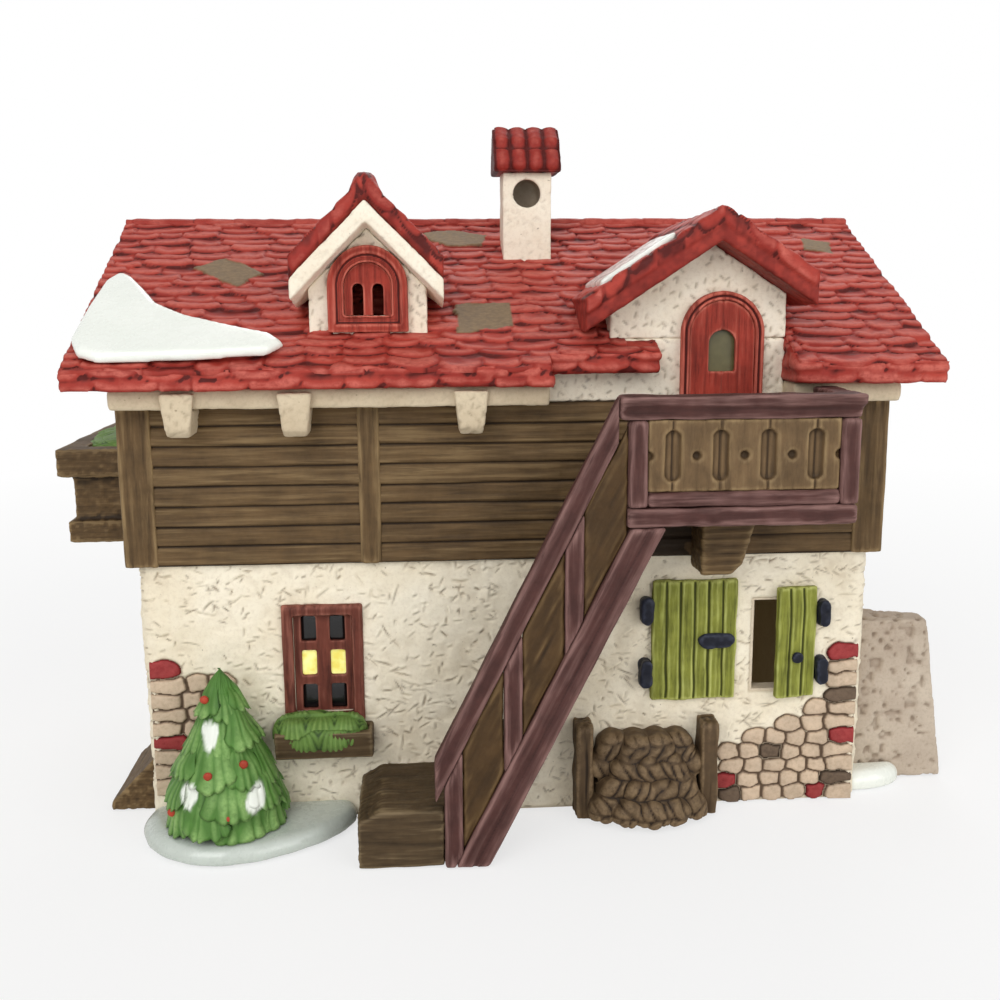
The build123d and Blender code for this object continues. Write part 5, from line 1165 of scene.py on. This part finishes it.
def tree_ring(tip, root, seed):
    """One ring of boughs: each fan is ridged along its length and hangs over the ring below."""
    count = max(5, round(2 * math.pi * float(tree_reach(tip)) / FAN_WIDTH))
    turn = np.linspace(0, 2 * math.pi, FAN_COLUMNS * count, endpoint=False)
    phase = turn * count / (2 * math.pi) + 0.37 * seed + 0.12 * np.sin(3 * turn + seed)
    part = phase - np.floor(phase)
    fan = np.sin(math.pi * part) ** 0.6
    ridge = np.abs(np.sin(FAN_RIDGES * math.pi * (part + 0.07 * noise(6 * phase, 0, 0, seed + 3)))) ** 0.8
    reach = lattice(whole(phase) % count, seed, 1, 5) - 0.5
    needle = noise(phase * FAN_RIDGES, 3, 0, seed + 9)
    tip_z = np.maximum(tree_height * tip + 2.6 * (1 - fan) + 0.7 * (1 - ridge) + 0.7 * needle + 3.4 * reach, 0.2)
    t = np.linspace(0, 1, FAN_ROWS)[:, None]
    z = tree_height * root + (tip_z - tree_height * root) * t
    grown = 1 - 0.6 * tip
    radius = tree_reach(z / tree_height) - 0.5 + FAN_PROUD * grown * t ** 1.3 * (0.2 + 0.8 * fan + 0.8 * reach)
    radius = radius + 0.5 * grown * ridge * t + 0.5 * noise(phase * 1.4, 4 * t, 0, seed + 5)
    wear = 0.36 + 0.62 * t * (0.15 + 0.85 * ridge) - 0.45 * (1 - fan) * t
    wear = wear + 0.25 * noise(phase * 2.2, 3 * t, 0, seed + 6)
    turn = turn + FAN_FLARE * (part - 0.5) * np.concatenate([t[:1], t ** 2, t[-1:], t[:1]]) / count
    eye = np.full((1, len(part)), 0.02)
    radius = np.concatenate([eye, radius, radius[-1:] - 1.9, eye])
    z = np.concatenate([z[:1], z, z[-1:] + 1.2, np.full((1, len(part)), tip_z.mean() + 2.0)])
    wear = np.concatenate([wear[:1], wear, 0 * eye, 0 * eye])
    y = np.minimum(tree_y + radius * np.sin(turn), -HOUSE_Y - 0.3)
    points = np.stack([tree_x + radius * np.cos(turn), y, tree_base + z], -1).reshape(-1, 3)
    ring = np.arange(len(part))
    faces = grid_faces(*z.shape, wrap=True)[:, ::-1].tolist()
    return points, faces + [ring.tolist(), (ring + (len(z) - 1) * len(part))[::-1].tolist()], wear.ravel()


def brushed_snow(points):
    """How much snow lies on each place of the tree's front."""
    x, y, z = points.T
    lain = np.zeros(len(points))
    for dx, dz in SNOW_DABS:
        off = np.hypot((x - tree_x - dx) / DAB_HALF_WIDTH, (z - tree_base - dz) / DAB_HALF_HEIGHT)
        off = off + 0.35 * noise(x / 0.9, 0, z / 2.2, 71)
        lain = np.maximum(lain, ease(off, 1.1, 0.8))
    return {"dab": lain * (y < tree_y)}


def bead(centre, radii, seed):
    """A slightly lumpy drop of paint or clay."""
    ball = bmesh.new()
    bmesh.ops.create_icosphere(ball, subdivisions=3, radius=1.0)
    points = np.array([v.co for v in ball.verts])
    faces = [[v.index for v in face.verts] for face in ball.faces]
    ball.free()
    swell = 1 + 0.14 * rough(points + seed, 0.9, seed, 2)
    return np.asarray(centre) + points * swell[:, None] * radii, faces, np.zeros(len(points))


boughs, berries = Bunch(), Bunch()
for seed, (tip, root) in enumerate(TREE_TIERS):
    boughs.add(*tree_ring(tip, root, seed))
boughs.build("tree_boughs", slot_of["tree"], "tree_green", ("tree",), brushed_snow)
for seed, (x, z) in enumerate(BERRIES):
    depth = math.sqrt(max((float(tree_reach(z / tree_height)) + BERRY_PROUD) ** 2 - x ** 2, 0.0))
    berries.add(*bead((tree_x + x, tree_y - depth, tree_base + z), BERRY_RADII, seed))
berries.build("tree_berries", "door_red", "berry_red")

# Greens: a leafy mound in each planter that hangs over its front
LEAF_WIDTH, LEAF_LENGTH, LEAF_RIDGES, LEAF_GRID = 6.4, 5.0, 5, 0.3
MOUND_SWEEP, MOUND_ROWS, MOUND_OVERHANG, MOUND_RISE, MOUND_FOOT = (-58, 118), 70, 2.4, 0.72, 2.5


def leaf_relief(a, s, seed):
    """Height and wear of overlapping fan-shaped leaves, a along the planter and s up from the front."""
    level = s / LEAF_LENGTH + 0.25 * noise(a / 5.0, s / 5.0, 0, seed)
    row = np.floor(level)
    share = level - row
    across = a / LEAF_WIDTH + 0.5 * row + 0.3 * noise(a / 6.0, row * 2.3, 0, seed + 1)
    part = 2 * (across - np.floor(across)) - 1
    ridge = np.abs(np.cos(LEAF_RIDGES * math.pi / 2 * (part / (1.15 - 0.6 * share))))
    height = 0.9 * (1 - share) * (1 - 0.6 * part ** 2) + 0.35 * ridge
    return height, 0.2 + 0.6 * ridge * (1 - 0.4 * share) - 0.4 * part ** 4


def greens(name, node, planter, long_axis, lean, seed):
    """Mound of leaves along one axis of a planter, hanging over the side that faces outward."""
    low, high = node_box(node)
    rim = node_box(planter)[1][2]
    start, length = low[long_axis] - lean, high[long_axis] - low[long_axis] + lean
    near, far = -high[1 - long_axis], -low[1 - long_axis]
    run, turn = np.meshgrid(np.linspace(start, high[long_axis], int(length / LEAF_GRID)),
                            np.radians(np.linspace(*MOUND_SWEEP, MOUND_ROWS)))
    ends = np.clip(1 - np.abs(2 * (run - start) / length - 1) ** 5, 0.02, 1) ** 0.5
    depth, rise = (far - near) / 2 + MOUND_OVERHANG, MOUND_RISE * (high[2] - rim)
    relief, wear = leaf_relief(run, (turn + 1.0) * depth, seed)
    swell = ends * (1.04 + 0.16 * noise(run / 4.5, turn * 1.5, 0, seed + 3)) + relief * ends / depth - 0.12
    droop = np.where(turn < 0, 0.9 + 0.35 * noise(run / 4.0, 0, 0, seed + 8), 1.0)
    middle = np.full(run.shape, (near + far) / 2)
    out, up = middle + depth * swell * np.cos(turn), rim - 0.6 + rise * swell * np.sin(turn) * droop
    shell, foot = np.zeros((2, *run.shape, 3))
    for points, outward, height in ((shell, out, up), (foot, middle, rim - MOUND_FOOT)):
        points[..., long_axis], points[..., 1 - long_axis], points[..., 2] = run, -outward, height
    quads = grid_faces(*run.shape)
    sheet(name, shell, foot, quads[:, ::-1] if long_axis else quads, slot_of[node], "leaf_green", (node,),
          wear=wear)


greens("window_box_leaves", "window_box_greens", "window_box", 0, 2.0, 41)
greens("side_balcony_leaves", "side_balcony_greens", "side_balcony", 1, 0.0, 43)

# Painted shade: dark plates behind the open panes above and below the lit ones, and an olive plate behind the pane
# of the door, standing for the dim inside
PANE_PITCH, PANE_SWELL, PANE_GRID = 8.2, 0.3, (13, 17)
DOOR_PANE_SIDE, DOOR_PANE_END, DOOR_PANE_GAP, DOOR_PANE_THICKNESS = 3.2, 4.0, 0.15, 0.8
pane_low, pane_high = node_box("lit_panes")
leaf_low, leaf_high = node_box("door_leaf")


def pane(low, high):
    """A thin plate that swells a little to the front, set behind an opening as painted shade: its face, what is
    behind, quads and wear.
    """
    u, v = np.meshgrid(*(np.linspace(-1, 1, count) for count in PANE_GRID))
    middle, half = (low + high) / 2, (high - low) / 2
    swell = PANE_SWELL * (1 - u ** 4) * (1 - v ** 4)
    face = np.stack([middle[0] + half[0] * u, low[1] + PANE_SWELL - swell, middle[2] + half[2] * v], -1)
    behind = face.copy()
    behind[..., 1] = high[1]
    return face, behind, grid_faces(*u.shape), u


panes, door_shade_pane = Bunch(), Bunch()
for lift in (-PANE_PITCH, PANE_PITCH):
    panes.add_sheet(*pane(pane_low + (0, 0, lift), pane_high + (0, 0, lift)))
panes.build("shade_panes", "iron", "dark_glass")
door_back = leaf_high[1] + DOOR_PANE_GAP
door_shade_pane.add_sheet(*pane(np.array([leaf_low[0] + DOOR_PANE_SIDE, door_back, leaf_low[2] + DOOR_PANE_END]),
                          np.array([leaf_high[0] - DOOR_PANE_SIDE, door_back + DOOR_PANE_THICKNESS,
                                    leaf_high[2] - DOOR_PANE_END])))
door_shade_pane.build("door_shade_pane", "lit_yellow", "olive_glass")

# Lamp and the nodes that are kept as they are
recast("bulb_glass", "bulb_glass", 0.6, 14)
for node, paint in (("ground_floor_walls", "inner_cream"), ("base_plate", "inner_cream"),
                    ("timber_storey", "timber_flat"), ("lit_panes", "lit_pane"), ("lamp_socket", "white_plastic"),
                    ("lamp_clip", "spring_steel"), ("bulb_cap", "brass")):
    mesh = frame["nodes"][node].data
    if not mesh.materials:
        mesh.materials.append(paints[paint])
    for index in range(len(mesh.materials)):
        mesh.materials[index] = paints[paint]

# Floor and light, in metres
FLOOR_SIZE, FLOOR_DROP, FLOOR_COLOUR = 12.0, 0.0004, (0.95, 0.95, 0.945, 1)
FLOOR_GLOW_NEAR, FLOOR_FADE_START, FLOOR_FADE_END = 0.68, 0.16, 0.55
WORLD_LIGHT, WORLD_COLOUR = 0.42, (1, 1, 1, 1)


def tree_nodes(owner, *kinds):
    """Clears the node tree of a material or world; gives what links its nodes, and new ones of the kinds."""
    owner.use_nodes = True
    owner.node_tree.nodes.clear()
    return owner.node_tree.links.new, *(owner.node_tree.nodes.new("ShaderNode" + kind) for kind in kinds)


bpy.ops.mesh.primitive_plane_add(size=FLOOR_SIZE, location=(0, 0, -FLOOR_DROP))
floor = bpy.context.object
floor.name = "floor"
ground = bpy.data.materials.new("floor_white")
link, output, diffuse, glow, path, seen, blend, place, distance, fade = tree_nodes(
    ground, "OutputMaterial", "BsdfDiffuse", "Emission", "LightPath", "Math", "MixShader", "TexCoord",
    "VectorMath", "MapRange")
diffuse.inputs["Color"].default_value = FLOOR_COLOUR
glow.inputs["Strength"].default_value = 1.0
distance.operation, seen.operation = "LENGTH", "MULTIPLY"
for label, number in (("From Min", FLOOR_FADE_START), ("From Max", FLOOR_FADE_END),
                      ("To Min", FLOOR_GLOW_NEAR)):
    fade.inputs[label].default_value = number
for start, stop in ((place.outputs["Object"], distance.inputs[0]),
                    (distance.outputs["Value"], fade.inputs["Value"]),
                    (path.outputs["Is Camera Ray"], seen.inputs[0]), (fade.outputs["Result"], seen.inputs[1]),
                    (seen.outputs[0], blend.inputs[0]), (diffuse.outputs[0], blend.inputs[1]),
                    (glow.outputs[0], blend.inputs[2]), (blend.outputs[0], output.inputs["Surface"])):
    link(start, stop)
floor.data.materials.append(ground)

scene.world = bpy.data.worlds.new("studio")
link, output, sky, path, direct, through, level = tree_nodes(
    scene.world, "OutputWorld", "Background", "LightPath", "Math", "Math", "MapRange")
sky.inputs["Color"].default_value = WORLD_COLOUR
direct.operation = through.operation = "MAXIMUM"
level.inputs["To Min"].default_value = WORLD_LIGHT
level.inputs["To Max"].default_value = 1.0
for start, stop in ((path.outputs["Is Camera Ray"], direct.inputs[0]),
                    (path.outputs["Is Glossy Ray"], direct.inputs[1]),
                    (direct.outputs[0], through.inputs[0]),
                    (path.outputs["Is Transmission Ray"], through.inputs[1]),
                    (through.outputs[0], level.inputs["Value"]),
                    (level.outputs["Result"], sky.inputs["Strength"]),
                    (sky.outputs[0], output.inputs["Surface"])):
    link(start, stop)

# Large soft square lamps: place, aim, size and power
for name, place, aim, size, power in (("key", (-0.5, -1.1, 0.8), (0, 0, 0.06), 0.9, 9.2),
                                      ("fill", (0.8, -0.9, 0.5), (0, 0, 0.06), 0.9, 5.0),
                                      ("back", (0.2, 0.95, 0.9), (0, 0, 0.08), 0.8, 4.0)):
    light = bpy.data.lights.new(name, "AREA")
    light.size, light.energy = size, power
    lamp = bpy.data.objects.new(name, light)
    lamp.location = place
    lamp.rotation_euler = (Vector(aim) - Vector(place)).to_track_quat("-Z", "Y").to_euler()
    scene.collection.objects.link(lamp)

# Camera, solved on corners of the house in the photograph, with its place in millimetres
CAMERA_PLACE = (-20.592, -312.140, 124.619)
CAMERA_YAW, CAMERA_PITCH, CAMERA_ROLL = math.radians(4.0312), math.radians(10.7707), math.radians(-0.3)
CAMERA_LENS, CAMERA_SENSOR, CAMERA_CLIP = 41.395, 36.0, 0.01
forward = Vector((math.sin(CAMERA_YAW) * math.cos(CAMERA_PITCH), math.cos(CAMERA_YAW) * math.cos(CAMERA_PITCH),
                  -math.sin(CAMERA_PITCH)))
level_right = Vector((math.cos(CAMERA_YAW), -math.sin(CAMERA_YAW), 0))
level_up = level_right.cross(forward)
right = math.cos(CAMERA_ROLL) * level_right + math.sin(CAMERA_ROLL) * level_up
up = -math.sin(CAMERA_ROLL) * level_right + math.cos(CAMERA_ROLL) * level_up
camera = bpy.data.objects.new("camera", bpy.data.cameras.new("camera"))
camera.data.lens = CAMERA_LENS
camera.data.sensor_width = CAMERA_SENSOR
camera.data.clip_start = CAMERA_CLIP
camera.data.dof.use_dof = False
camera.matrix_world = (Matrix.Translation(Vector(CAMERA_PLACE) * MM)
                       @ Matrix((right, up, -forward)).transposed().to_4x4())
scene.collection.objects.link(camera)
scene.camera = camera
scene.view_settings.view_transform = "Standard"

bpy.context.view_layer.update()
